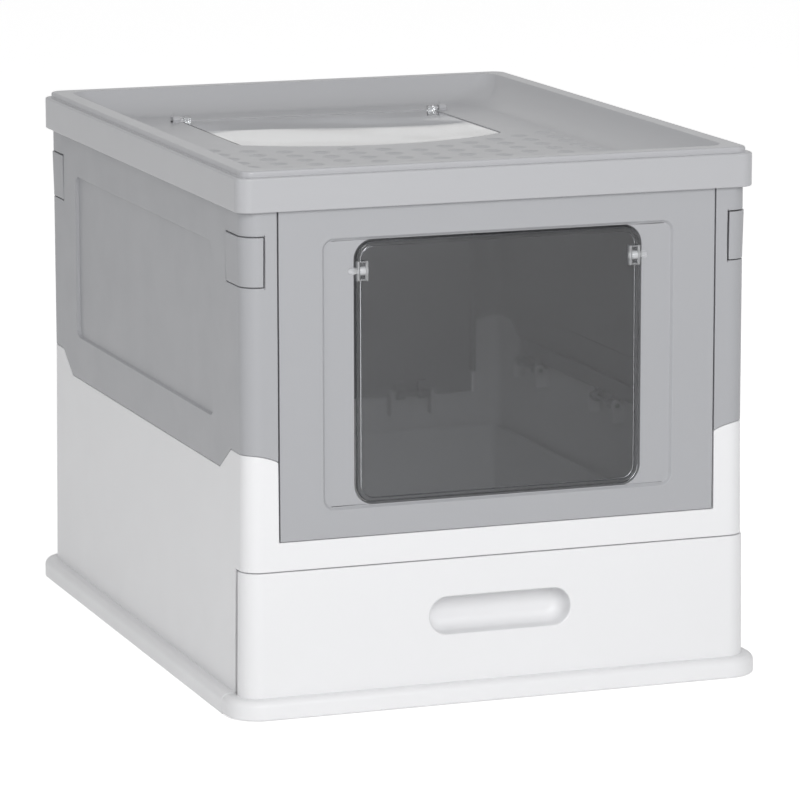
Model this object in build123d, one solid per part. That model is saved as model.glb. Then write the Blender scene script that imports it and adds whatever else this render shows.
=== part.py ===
from build123d import *
import math
import os

# Drawer litter box, in millimetres. The front faces -Y, +X is to the right and +Z is up.
# The origin lies on the floor, under the middle of the foot skirt.

os.makedirs("parts", exist_ok=True)

# ---------------------------------------------------------------- driving sizes
# Whole box
foot_width = 380.0
foot_length = 485.0
total_height = 365.0

# General clearances
seat_gap = 0.3  # between a piece and what it rests on
running_gap = 0.06  # radial, between a pin and the bore that turns on it
fixed_gap = 0.02  # radial, round a pin that stays put in its hole

# Foot skirt
foot_height = 14.0
foot_reach = 9.0  # how far the foot stands out from the white walls
foot_round = 5.0
foot_skin = 2.5
foot_lift = 1.0  # the drawer's stretch of foot clears the floor by this much

# White base walls
corner_radius = 12.0
wall_draft = 2.0  # the white walls lean in by this much from the floor to the post tops
base_wall = 3.5
base_floor_bottom = 3.0
base_floor_thickness = 2.5
post_top = 177.0  # the grey corner columns stand on the posts here
post_dip = 5.0  # how much lower the post is beside the front and rear walls
post_flat = 3.0  # distance from the side face at which that dip begins
side_sill_top = 161.0  # the white side wall between its posts
side_sill_half = 178.0  # half length of that lower stretch
side_slope_run = 24.0  # length of the slope from the sill to the post
end_sill_top = 118.0  # the white front and rear walls, under the grey ones
sill_shelf = 12.0  # inward reach of the shelf under the front sill
sill_shelf_thickness = 2.5

# Drawer
drawer_top = 97.4
drawer_seam = 1.0  # gap above the drawer face
drawer_wrap = 19.5  # how far the drawer face wraps back along the sides
drawer_side_seam = 0.5
drawer_proud = 0.8  # the drawer face stands out from the walls by this much
drawer_skin = 3.0
drawer_cap = 2.5
tray_wall = 2.5
tray_side_gap = 2.0
tray_front_gap = 4.0  # behind the line where the drawer face ends
tray_rear_gap = 2.0
tray_top = 92.0
tray_corner = 7.0
rail_height = 2.0
rail_width = 8.0
rail_offset = 140.0
rail_end_gap = 6.0

# Finger recess in the drawer face
recess_width = 101.0
recess_height = 25.6
recess_centre_z = 59.5
recess_depth = 17.0
recess_round = 8.0
recess_skin = 2.0
hook_rise = 8.0  # height of the hollow for the fingertips above the mouth
hook_round = 3.0
hook_inset = 4.0  # from each end of the mouth to the hollow behind it

# Screws that hold the drawer face to the tray
screw_offset_x = 120.0
screw_heights = (35.0, 80.0)
screw_radius = 1.8
screw_length = 14.0
screw_head_radius = 3.6
screw_head_height = 2.2
screw_boss_radius = 4.5

# Grey wall panels
panel_wall = 3.0
panel_top_gap = 0.8  # front and rear panels stay this far under the lid to fold
column_flange = 23.5  # width of a corner column on the front and rear faces
panel_side_gap = 1.0
panel_return = 8.0  # depth of the stiffening rims behind the front and rear panels
panel_return_thickness = 2.4
panel_return_start = 135.0

# Shallow field in the front and rear panels
end_field_half = 124.5
end_field_low = 136.7
end_field_high = 318.3
end_field_radius = 8.0
end_field_depth = 2.0
end_field_bevel = 40.0  # degrees from square

# Shallow field in the side panels
side_field_half = 164.5
side_field_low = 192.0
side_field_high = 310.5
side_field_radius = 7.0
side_field_depth = 2.5
side_field_bevel = 20.0
field_margin = 3.0  # the pad behind a field reaches this much further than the field

# Inner strip that hangs from the side panels inside the white wall
strip_thickness = 2.5
strip_gap = 1.0
strip_bottom = 156.0
strip_top = 168.0
strip_half = 172.0

# Fold hinges
rod_radius = 1.8
knuckle_radius = 3.6
knuckle_width = 7.0
lug_width = 4.0
lug_gap = 2.0
end_hinge_inset = 7.0  # from the outer face of the panel to the hinge line
end_hinge_z = 119.5
end_hinge_offset = 103.0  # pairs of knuckles lie at this distance from the middle
end_knuckle_offset = 9.0
end_lug_bottom = 104.0
end_web_height = 10.5
side_hinge_inset = 9.0
side_hinge_z = 151.0
side_hinge_spacing = 150.0
side_knuckle_offset = 16.0
side_lug_bottom = 138.0

# Doorway and front flap
door_half = 102.0
door_low = 138.7
door_high = 316.3
door_radius = 13.5
door_collar = 2.0  # thickness of the collar round the doorway
door_collar_depth = 7.0
flap_gap = 1.5
flap_sheet = 2.0
flap_bead_width = 3.2
flap_bead_thickness = 3.6
flap_plane_inset = 2.5  # from the panel's outer face to the middle of the flap
flap_pivot_z = 295.5
flap_pin_radius = 2.4
flap_pin_inner = 92.0
flap_pin_outer = 106.5
flap_pin_dome = 2.3
flap_clip_width = 8.0
flap_clip_half_height = 6.5
flap_clip_thickness = 5.0
flap_clip_window = 2.0
socket_length = 8.0
socket_half_height = 5.5
socket_depth = 7.5
socket_end_gap = 0.7

# Corner latches
latch_drop = 19.7  # from the top of the side panel down to the latch window
latch_window_height = 34.0
latch_side_reach = 37.0  # along the side, from the front or rear face
latch_end_reach = 14.7  # round the corner, along the front or rear face
latch_gap = 0.7
latch_thickness = 2.4
latch_flare = 0.8  # the latch stands out by this much at its top
latch_barrel_radius = 2.0
latch_pivot_inset = 2.1
latch_pivot_back = 3.1
latch_pin_radius = 0.9
latch_boss = 5.0

# Lid
lid_overhang = 4.0
lid_corner = 10.0
lid_band_height = 23.0
lid_step = 4.0
lid_skirt = 4.0  # the band hangs this far below the panel tops
lid_fit = 0.8
lid_skin = 2.5
lid_edge_round = 1.5
rim_width = 12.0
rim_inner_radius = 12.0
dish_depth = 18.0
dish_run = 30.0
dish_radius = 30.0
dish_steps = 7

# Dimples in the lid's floor
dimple_radius = 7.0
dimple_depth = 1.6
dimple_pitch_x = 23.0
dimple_pitch_y = 22.5
dimple_columns = 12
dimple_edge = 9.0  # from the middle of a dimple to the dish slope or the opening

# Lid opening and top flap
hatch_half = 99.0
hatch_rear = 166.0
hatch_front = 22.0
hatch_bulge = 32.0  # the front edge bows out by this much
hatch_radius = 9.0
hatch_gap = 1.5
hatch_ledge = 5.0
hatch_ledge_thickness = 2.0
hatch_ledge_rear = 150.0
top_flap_sheet = 1.6
top_hinge_y = 159.0
top_hinge_rise = 1.4  # hinge line above the lid's floor
top_barrel_radius = 2.4
top_barrel_length = 9.0
top_flap_tail = 2.0
top_pin_radius = 1.5
top_pin_reach = 105.0
top_pin_inner = 90.0
top_lug_radius = 3.0
top_lug_width = 6.0
top_lug_gap = 1.5

# ---------------------------------------------------------------- worked out sizes
half_x = foot_width / 2 - foot_reach - wall_draft  # grey panels, outer face
half_y = foot_length / 2 - foot_reach - wall_draft
draft_angle = math.degrees(math.atan(wall_draft / post_top))
inner_x = half_x - base_wall
inner_y = half_y - base_wall
column_reach = half_x - column_flange
dip_start = half_x - post_flat
drawer_line = -half_y + drawer_wrap  # the base starts here, behind the drawer face
floor_top = base_floor_bottom + base_floor_thickness
tray_bottom = floor_top + rail_height + seat_gap
tray_half_x = inner_x - tray_side_gap
tray_front = drawer_line + tray_front_gap
tray_rear = inner_y - tray_rear_gap
rim_top = total_height
band_top = rim_top - lid_step
band_bottom = band_top - lid_band_height
seat_z = band_bottom + lid_skirt
side_panel_top = seat_z - seat_gap
end_panel_top = seat_z - panel_top_gap
end_panel_half = column_reach - panel_side_gap
latch_high = side_panel_top - latch_drop
latch_low = latch_high - latch_window_height
end_hinge_y = half_y - end_hinge_inset
side_hinge_x = half_x - side_hinge_inset
flap_y = -half_y + flap_plane_inset
dish_floor = rim_top - dish_depth
top_hinge_z = dish_floor + top_hinge_rise
rim_x = half_x + lid_overhang - lid_step
rim_y = half_y + lid_overhang - lid_step
dish_floor_x = rim_x - rim_width - dish_run
dish_floor_y = rim_y - rim_width - dish_run
overlap = 1.0  # cutters run past the faces they cut by this much


# ---------------------------------------------------------------- helpers
def block(size_x, size_y, low, high, radius, taper=0.0):
    """Upright prism with rounded corners, given by its half sizes and centred on the Z axis."""
    outline = Pos(0, 0, low) * RectangleRounded(2 * size_x, 2 * size_y, radius)
    return extrude(outline, high - low, dir=(0, 0, 1), taper=taper)


def box(x0, x1, y0, y1, z0, z1):
    """Box between two corners."""
    middle = Pos((x0 + x1) / 2, (y0 + y1) / 2, (z0 + z1) / 2)
    return middle * Box(abs(x1 - x0), abs(y1 - y0), abs(z1 - z0))


def bar_x(x0, x1, y, z, radius):
    """Round bar along X."""
    return Pos((x0 + x1) / 2, y, z) * Rot(0, 90, 0) * Cylinder(radius, abs(x1 - x0))


def bar_y(x, y0, y1, z, radius):
    """Round bar along Y."""
    return Pos(x, (y0 + y1) / 2, z) * Rot(90, 0, 0) * Cylinder(radius, abs(y1 - y0))


def bar_z(x, y, z0, z1, radius):
    """Round bar along Z."""
    return Pos(x, y, (z0 + z1) / 2) * Cylinder(radius, abs(z1 - z0))


def ring(size_x, size_y, low, high, radius, wall):
    """Upright rounded tube with the given outer half sizes and wall."""
    outer = block(size_x, size_y, low, high, radius)
    inner = block(size_x - wall, size_y - wall, low - overlap, high + overlap, radius - wall)
    return outer - inner


def flipped_x(shape):
    """The same piece on the other side of the middle."""
    return mirror(shape, Plane.YZ)


def flipped_y(shape):
    """The same piece at the other end."""
    return mirror(shape, Plane.XZ)


def turned(shape):
    """The same piece at the far corner, half a turn round the middle."""
    return Rot(0, 0, 180) * shape


def upright_plate(half_width, low, high, radius, y_front, y_back, taper=0.0):
    """Rounded rectangle in the XZ plane, carried from y_front back to y_back."""
    outline = Plane.XZ * Pos(0, (low + high) / 2) * RectangleRounded(2 * half_width, high - low, radius)
    placed = Pos(0, y_front, 0) * outline
    return extrude(placed, y_back - y_front, dir=(0, 1, 0), taper=taper)


def below_side_seam(gap):
    """Everything under the seam between the white side walls and the grey side panels."""
    post = post_top - gap
    sill = side_sill_top - gap
    slope_end = side_sill_half + side_slope_run
    points = [
        (-slope_end, -overlap),
        (-slope_end, post),
        (-side_sill_half, sill),
        (side_sill_half, sill),
        (slope_end, post),
        (slope_end, -overlap),
    ]
    outline = make_face(Polyline(*points, close=True))
    middle = extrude(Plane.YZ * outline, half_x + foot_reach * 2, both=True)
    far = half_x + foot_reach * 2
    with_dip = make_face(
        Line((0, -overlap), (far, -overlap))
        + Line((far, -overlap), (far, post))
        + Line((far, post), (dip_start, post))
        + TangentArc((dip_start, post), (column_reach, post - post_dip), tangent=(-1, 0))
        + Line((column_reach, post - post_dip), (0, post - post_dip))
        + Line((0, post - post_dip), (0, -overlap))
    )
    end = extrude(Plane.XZ * with_dip, -(half_y + foot_reach * 2))
    end = end - box(-overlap, far, -overlap, slope_end, -2 * overlap, post_top + overlap)
    corner = end + flipped_x(end)
    return middle + corner + flipped_y(corner)


# ---------------------------------------------------------------- base
def end_hinge_places():
    """Middles of the knuckle pairs along a front or rear panel."""
    return (-end_hinge_offset, end_hinge_offset)


def side_hinge_places():
    """Middles of the knuckle pairs along a side panel."""
    return (-side_hinge_spacing, 0.0, side_hinge_spacing)


def end_lugs():
    """Lugs inside the rear wall that hold the rods of the rear panel."""
    lugs = []
    reach = end_knuckle_offset + knuckle_width / 2 + lug_gap
    for middle in end_hinge_places():
        for side in (-1, 1):
            near = middle + side * reach
            far = near + side * lug_width
            low, high = min(near, far), max(near, far)
            foot = box(low, high, end_hinge_y - knuckle_radius, inner_y + overlap,
                       end_lug_bottom, end_sill_top - seat_gap)
            neck = box(low, high, end_hinge_y - knuckle_radius, end_hinge_y + knuckle_radius,
                       end_lug_bottom, end_hinge_z)
            eye = bar_x(low, high, end_hinge_y, end_hinge_z, knuckle_radius)
            bore = bar_x(low - overlap, high + overlap, end_hinge_y, end_hinge_z, rod_radius + fixed_gap)
            lugs.append(foot + neck + eye - bore)
    return lugs


def side_lugs():
    """Lugs inside the right wall that hold the rods of the right panel."""
    lugs = []
    reach = side_knuckle_offset + knuckle_width / 2 + lug_gap
    for middle in side_hinge_places():
        for side in (-1, 1):
            near = middle + side * reach
            far = near + side * lug_width
            low, high = min(near, far), max(near, far)
            foot = box(side_hinge_x - knuckle_radius, inner_x + overlap, low, high, side_lug_bottom, side_hinge_z)
            eye = bar_y(side_hinge_x, low, high, side_hinge_z, knuckle_radius)
            bore = bar_y(side_hinge_x, low - overlap, high + overlap, side_hinge_z, rod_radius + fixed_gap)
            lugs.append(foot + eye - bore)
    return lugs


def foot_ring(low, high):
    """Hollow foot skirt with a rounded top edge, all the way round."""
    outer = block(foot_width / 2, foot_length / 2, low, high, corner_radius + wall_draft + foot_reach)
    outer = fillet(outer.edges().filter_by_position(Axis.Z, high, high), foot_round)
    hollow = block(
        foot_width / 2 - foot_skin,
        foot_length / 2 - foot_skin,
        low - overlap,
        high - foot_skin,
        corner_radius + wall_draft + foot_reach - foot_skin,
    )
    return outer, hollow


def make_base():
    """White lower shell: walls, posts, sill, floor with rails, hinge lugs and foot on three sides."""
    foot, foot_hollow = foot_ring(0, foot_height)
    wall = block(half_x + wall_draft, half_y + wall_draft, 0, post_top, corner_radius + wall_draft, draft_angle)
    inside = block(inner_x, inner_y, -overlap, post_top + overlap, corner_radius - base_wall)
    wall_bottom = block(
        half_x + wall_draft, half_y + wall_draft, -overlap, foot_height, corner_radius + wall_draft
    )
    shell = foot - (foot_hollow - wall_bottom) + wall - inside
    shell = shell & below_side_seam(seat_gap)
    above_sill = box(
        -column_reach, column_reach, -foot_length, foot_length, end_sill_top - seat_gap, total_height
    )
    shell = shell - above_sill
    drawer_room = box(
        -foot_width, foot_width, -foot_length, drawer_line, -overlap, drawer_top + drawer_seam
    )
    shell = shell - drawer_room
    shelf_z = drawer_top + drawer_seam
    shelf = box(-inner_x - overlap, inner_x + overlap, -inner_y - overlap, -inner_y + sill_shelf,
                shelf_z, shelf_z + sill_shelf_thickness)
    floor = box(-inner_x - overlap, inner_x + overlap, drawer_line, inner_y + overlap,
                base_floor_bottom, floor_top)
    parts = [shelf, floor]
    for side in (-1, 1):
        middle = side * rail_offset
        parts.append(box(middle - rail_width / 2, middle + rail_width / 2,
                         drawer_line + rail_end_gap, inner_y - rail_end_gap, floor_top, floor_top + rail_height))
    for lug in end_lugs():
        parts += [lug, flipped_y(lug)]
    for lug in side_lugs():
        parts += [lug, flipped_x(lug)]
    for piece in parts:
        shell = shell + piece
    return shell


# ---------------------------------------------------------------- drawer
def screw_places():
    """Middles of the drawer screws, as X and Z."""
    return [(side * screw_offset_x, z) for side in (-1, 1) for z in screw_heights]


def make_tray():
    """Open litter tray behind the drawer face."""
    middle_y = (tray_front + tray_rear) / 2
    half_length = (tray_rear - tray_front) / 2
    outer = Pos(0, middle_y, 0) * block(tray_half_x, half_length, tray_bottom, tray_top, tray_corner)
    inner = Pos(0, middle_y, 0) * block(
        tray_half_x - tray_wall, half_length - tray_wall, tray_bottom + tray_wall, tray_top + overlap,
        tray_corner - tray_wall,
    )
    tray = outer - inner
    for x, z in screw_places():
        tray = tray - bar_y(x, tray_front - overlap, tray_front + tray_wall + overlap, z, screw_radius + fixed_gap)
    return tray


def finger_recess(front):
    """Hollow of the finger recess: a scooped mouth and room for the fingertips above it."""
    back = front + recess_depth
    slot = Plane.XZ * Pos(0, recess_centre_z) * SlotOverall(recess_width, recess_height)
    mouth = extrude(Pos(0, back, 0) * slot, recess_depth + 2 * overlap, dir=(0, -1, 0))
    mouth = fillet(mouth.edges().filter_by_position(Axis.Y, back, back), recess_round)
    hook_half = recess_width / 2 - hook_inset
    hook = box(-hook_half, hook_half, front + drawer_skin, back,
               recess_centre_z, recess_centre_z + recess_height / 2 + hook_rise)
    hook = fillet(hook.edges(), hook_round)
    return mouth + hook


def make_drawer_front():
    """White drawer face that wraps the corners, with its foot, finger recess and screw bosses."""
    out_x = half_x + wall_draft + drawer_proud
    out_y = half_y + wall_draft + drawer_proud
    radius = corner_radius + wall_draft + drawer_proud
    outer = block(out_x, out_y, 0, drawer_top, radius, draft_angle)
    inner = block(out_x - drawer_skin, out_y - drawer_skin, 0, drawer_top - drawer_cap,
                  radius - drawer_skin, draft_angle)
    under = box(-foot_width, foot_width, -foot_length, foot_length, -overlap, foot_height - overlap)
    face = outer - inner - under
    foot, foot_hollow = foot_ring(foot_lift, foot_height)
    face = face + (foot - foot_hollow)
    front_only = box(-foot_width, foot_width, -foot_length, drawer_line - drawer_side_seam, -overlap, drawer_top)
    face = face & front_only

    lean = wall_draft * recess_centre_z / post_top
    recess_front = -(out_y - lean)
    boss_half_x = recess_width / 2 + recess_skin
    recess_low = recess_centre_z - recess_height / 2 - recess_skin
    recess_high = recess_centre_z + recess_height / 2 + hook_rise + recess_skin
    boss = box(-boss_half_x, boss_half_x, recess_front + drawer_skin / 2, recess_front + recess_depth + recess_skin,
               recess_low, recess_high)
    face = face + boss - finger_recess(recess_front)
    for x, z in screw_places():
        screw_tip = tray_front - screw_length + tray_wall
        wall_here = -(out_y - wall_draft * z / post_top) + drawer_skin / 2
        boss = bar_y(x, wall_here, tray_front - seat_gap, z, screw_boss_radius)
        bore = bar_y(x, screw_tip - overlap, tray_front, z, screw_radius + fixed_gap)
        face = face + boss - bore
    return face


def make_screws():
    """Screws driven from inside the tray into the drawer face."""
    screws = []
    head_y = tray_front + tray_wall + fixed_gap
    for x, z in screw_places():
        shank = bar_y(x, head_y - screw_length, head_y, z, screw_radius)
        head = bar_y(x, head_y, head_y + screw_head_height, z, screw_head_radius)
        screws.append(shank + head)
    return Compound(children=screws)


# ---------------------------------------------------------------- front and rear panels
def end_panel():
    """Rear panel: plate, shallow field, rims and knuckles. The front one is its mirror image."""
    bottom = end_sill_top
    plate = box(-end_panel_half, end_panel_half, half_y - panel_wall, half_y, bottom, end_panel_top)
    field = upright_plate(end_field_half, end_field_low, end_field_high, end_field_radius,
                          half_y, half_y - end_field_depth, end_field_bevel)
    pad = upright_plate(end_field_half + field_margin, end_field_low - field_margin,
                        end_field_high + field_margin, end_field_radius + field_margin,
                        half_y - panel_wall, half_y - panel_wall - end_field_depth)
    panel = plate + pad - field
    rim_y0 = half_y - panel_wall - panel_return
    for side in (-1, 1):
        edge = side * end_panel_half
        panel = panel + box(edge, edge - side * panel_return_thickness, rim_y0, half_y - panel_wall,
                            panel_return_start, end_panel_top)
    panel = panel + box(-end_panel_half, end_panel_half, rim_y0, half_y - panel_wall,
                        end_panel_top - panel_return_thickness, end_panel_top)
    for middle in end_hinge_places():
        for side in (-1, 1):
            x0 = middle + side * end_knuckle_offset - knuckle_width / 2
            x1 = x0 + knuckle_width
            eye = bar_x(x0, x1, end_hinge_y, end_hinge_z, knuckle_radius)
            web = box(x0, x1, end_hinge_y, half_y - panel_wall / 2, end_hinge_z, end_hinge_z + end_web_height)
            panel = panel + eye + web
    for middle in end_hinge_places():
        length = end_knuckle_offset + knuckle_width
        panel = panel - bar_x(middle - length, middle + length, end_hinge_y, end_hinge_z,
                              rod_radius + running_gap)
    return panel


def make_front_panel():
    """Front panel: the rear panel's form with a doorway, its collar and the flap's pin sockets."""
    panel = flipped_y(end_panel())
    face = -half_y + end_field_depth
    back = -half_y + panel_wall + end_field_depth
    collar = upright_plate(door_half + door_collar, door_low - door_collar, door_high + door_collar,
                           door_radius + door_collar, face + overlap, back + door_collar_depth)
    panel = panel + collar
    for side in (-1, 1):
        x0 = side * door_half
        x1 = side * (door_half + socket_length)
        panel = panel + box(x0, x1, face, face + socket_depth,
                            flap_pivot_z - socket_half_height, flap_pivot_z + socket_half_height)
    doorway = upright_plate(door_half, door_low, door_high, door_radius,
                            -half_y - overlap, back + door_collar_depth + overlap)
    panel = panel - doorway
    for side in (-1, 1):
        panel = panel - bar_x(side * (door_half - overlap), side * (flap_pin_outer + socket_end_gap),
                              flap_y, flap_pivot_z, flap_pin_radius + running_gap)
    return panel


def make_front_flap():
    """See-through front flap: sheet, bead round the edge and a clip for each pin."""
    half = door_half - flap_gap
    low = door_low + flap_gap
    high = door_high - flap_gap
    radius = door_radius - flap_gap
    sheet = upright_plate(half, low, high, radius, flap_y - flap_sheet / 2, flap_y + flap_sheet / 2)
    bead = upright_plate(half, low, high, radius, flap_y - flap_bead_thickness / 2,
                         flap_y + flap_bead_thickness / 2)
    bead = fillet(bead.edges().filter_by(GeomType.LINE, reverse=True) + bead.edges().filter_by(
        GeomType.LINE).filter_by(Axis.Y, reverse=True), flap_bead_thickness / 4)
    bead_inner = upright_plate(half - flap_bead_width, low + flap_bead_width, high - flap_bead_width,
                               radius - flap_bead_width, flap_y - flap_bead_thickness,
                               flap_y + flap_bead_thickness)
    flap = sheet + (bead - bead_inner)
    z0 = flap_pivot_z - flap_clip_half_height
    z1 = flap_pivot_z + flap_clip_half_height
    for side in (-1, 1):
        x1 = side * half
        x0 = side * (half - flap_clip_width)
        clip = box(x0, x1, flap_y - flap_clip_thickness / 2, flap_y + flap_clip_thickness / 2, z0, z1)
        flap = flap + clip
        inset = flap_clip_window
        for way in (-1, 1):
            near = flap_pivot_z + way * (flap_pin_radius + inset / 2)
            far = near + way * inset
            window = box(x0 + side * inset, x1 - side * inset, flap_y - flap_clip_thickness,
                         flap_y + flap_clip_thickness, near, far)
            flap = flap - window
        bore = bar_x(side * (flap_pin_inner - fixed_gap), side * (half + overlap), flap_y, flap_pivot_z,
                     flap_pin_radius + fixed_gap)
        flap = flap - bore
    return flap


def make_flap_pin():
    """Clear pin with a domed end, on the right of the front flap."""
    pin = bar_x(flap_pin_inner, flap_pin_outer, flap_y, flap_pivot_z, flap_pin_radius)
    return fillet(pin.edges().filter_by_position(Axis.X, flap_pin_outer, flap_pin_outer), flap_pin_dome)


# ---------------------------------------------------------------- side panels and latches
def latch_window():
    """Room for the latch in the rear right corner."""
    return box(half_x - latch_end_reach, half_x + overlap, half_y - latch_side_reach, half_y + overlap,
               latch_low, latch_high)


def latch_pivot():
    """Upright axis of the rear right latch, as X and Y."""
    return half_x - latch_pivot_inset, half_y - latch_side_reach + latch_pivot_back


def make_right_panel():
    """Right panel with both corner columns, its field, inner strip, knuckles and latch windows."""
    low = side_sill_top - post_dip
    wall = ring(half_x, half_y, low, side_panel_top, corner_radius, panel_wall)
    wall = wall & box(column_reach, half_x, -half_y, half_y, low, side_panel_top)
    panel = wall - below_side_seam(0)

    outline = Plane.YZ * Pos(0, (side_field_low + side_field_high) / 2) * RectangleRounded(
        2 * side_field_half, side_field_high - side_field_low, side_field_radius)
    field = extrude(Pos(half_x, 0, 0) * outline, side_field_depth, dir=(-1, 0, 0), taper=side_field_bevel)
    pad_outline = Plane.YZ * Pos(0, (side_field_low + side_field_high) / 2) * RectangleRounded(
        2 * (side_field_half + field_margin), side_field_high - side_field_low + 2 * field_margin,
        side_field_radius + field_margin)
    pad = extrude(Pos(half_x - panel_wall, 0, 0) * pad_outline, side_field_depth, dir=(-1, 0, 0))
    panel = panel + pad - field

    strip_outer = inner_x - strip_gap
    strip = box(strip_outer - strip_thickness, strip_outer, -strip_half, strip_half, strip_bottom, strip_top)
    shelf = box(strip_outer - strip_thickness, half_x - panel_wall / 2, -strip_half, strip_half,
                strip_top - strip_thickness, strip_top)
    panel = panel + strip + shelf
    for middle in side_hinge_places():
        for side in (-1, 1):
            y0 = middle + side * side_knuckle_offset - knuckle_width / 2
            y1 = y0 + knuckle_width
            eye = bar_y(side_hinge_x, y0, y1, side_hinge_z, knuckle_radius)
            arm = box(side_hinge_x, strip_outer, y0, y1, side_hinge_z, strip_bottom + overlap)
            panel = panel + eye + arm
        length = side_knuckle_offset + knuckle_width
        panel = panel - bar_y(side_hinge_x, middle - length, middle + length, side_hinge_z,
                              rod_radius + fixed_gap)

    pivot_x, pivot_y = latch_pivot()
    for turn in (1, -1):
        window = latch_window()
        inside = half_x - panel_wall / 2
        ears = []
        for z0, z1 in ((latch_low - latch_boss, latch_low), (latch_high, latch_high + latch_boss)):
            ears.append(box(inside - latch_boss, inside, pivot_y - latch_boss / 2, pivot_y + latch_boss / 2, z0, z1))
        bore = bar_z(pivot_x, pivot_y, latch_low - latch_boss + overlap, latch_high + latch_boss - overlap,
                     latch_pin_radius + fixed_gap)
        if turn < 0:
            window = flipped_y(window)
            bore = flipped_y(bore)
            ears = [flipped_y(ear) for ear in ears]
        for ear in ears:
            panel = panel + ear
        panel = panel - window - bore
    return panel


def make_latch():
    """Corner latch of the rear right column: an angled tab on an upright barrel."""
    low = latch_low + latch_gap
    high = latch_high - latch_gap
    flare_angle = -math.degrees(math.atan(latch_flare / (high - low)))
    outer = block(half_x, half_y, low, high, corner_radius, flare_angle)
    inner = block(half_x - latch_thickness, half_y - latch_thickness, low - overlap, high + overlap,
                  corner_radius - latch_thickness)
    shell = outer - inner
    shell = shell & box(half_x - latch_end_reach + latch_gap, half_x + latch_flare + overlap,
                        half_y - latch_side_reach + latch_gap, half_y + latch_flare + overlap, low, high)
    pivot_x, pivot_y = latch_pivot()
    latch = shell + bar_z(pivot_x, pivot_y, low, high, latch_barrel_radius)
    return latch - bar_z(pivot_x, pivot_y, low - overlap, high + overlap, latch_pin_radius + running_gap)


def make_latch_pins():
    """Upright pins of the four corner latches."""
    pivot_x, pivot_y = latch_pivot()
    pin = bar_z(pivot_x, pivot_y, latch_low - latch_boss + 2 * overlap, latch_high + latch_boss - 2 * overlap,
                latch_pin_radius)
    return Compound(children=[pin, flipped_x(pin), flipped_y(pin), turned(pin)])


def end_rods():
    """Rods of the rear panel's hinge."""
    reach = end_knuckle_offset + knuckle_width / 2 + lug_gap + lug_width
    return [bar_x(middle - reach, middle + reach, end_hinge_y, end_hinge_z, rod_radius)
            for middle in end_hinge_places()]


def side_rods():
    """Rods of the right panel's hinge."""
    reach = side_knuckle_offset + knuckle_width / 2 + lug_gap + lug_width
    return [bar_y(side_hinge_x, middle - reach, middle + reach, side_hinge_z, rod_radius)
            for middle in side_hinge_places()]


# ---------------------------------------------------------------- lid
def dish(grow):
    """Hollow of the lid's dish; grow makes it larger and deeper, for the skin's outer side."""
    arc_radius = (dish_run**2 + dish_depth**2) / (2 * dish_depth)
    sections = []
    for step in range(dish_steps + 1):
        run = dish_run * step / dish_steps
        rise = arc_radius - math.sqrt(arc_radius**2 - run**2)
        radius = dish_radius + (rim_inner_radius - dish_radius) * step / dish_steps
        outline = RectangleRounded(2 * (dish_floor_x + run + grow), 2 * (dish_floor_y + run + grow), radius)
        sections.append(Pos(0, 0, dish_floor + rise - grow) * outline)
    bowl = loft(sections, ruled=True)
    mouth = block(dish_floor_x + dish_run + grow, dish_floor_y + dish_run + grow, rim_top - grow,
                  rim_top + overlap, rim_inner_radius)
    return bowl + mouth


def hatch_outline(gap):
    """Outline of the lid opening, drawn in by the gap; the front edge bows forward."""
    half = hatch_half - gap
    rear = hatch_rear - gap
    front = hatch_front + gap
    bow = hatch_front - hatch_bulge + gap
    sides = Polyline((-half, front), (-half, rear), (half, rear), (half, front))
    outline = make_face(sides + ThreePointArc((half, front), (0, bow), (-half, front)))
    front_corners = outline.vertices().group_by(Axis.Y)[0]
    return fillet(front_corners, hatch_radius)


def hatch_prism(gap, low, high):
    """Upright prism on the lid opening's outline."""
    return extrude(Pos(0, 0, low) * hatch_outline(gap), high - low, dir=(0, 0, 1))


def hatch_front_edge(x):
    """How far forward the lid opening reaches at a distance x from the middle."""
    bow_radius = (hatch_half**2 + hatch_bulge**2) / (2 * hatch_bulge)
    return hatch_front - hatch_bulge + bow_radius - math.sqrt(bow_radius**2 - x**2)


def dimple_places():
    """Middles of the dimples: a staggered grid between the opening and the front slope."""
    places = []
    front_limit = -dish_floor_y + dimple_edge
    for column in range(dimple_columns):
        x = (column - (dimple_columns - 1) / 2) * dimple_pitch_x
        if abs(x) < hatch_half + dimple_edge:
            rear_limit = hatch_front_edge(min(abs(x), hatch_half)) - hatch_ledge - dimple_edge
        else:
            rear_limit = hatch_front
        y = front_limit + (column % 2) * dimple_pitch_y / 2
        while y < rear_limit:
            places.append((x, y))
            y += dimple_pitch_y
    return places


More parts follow.
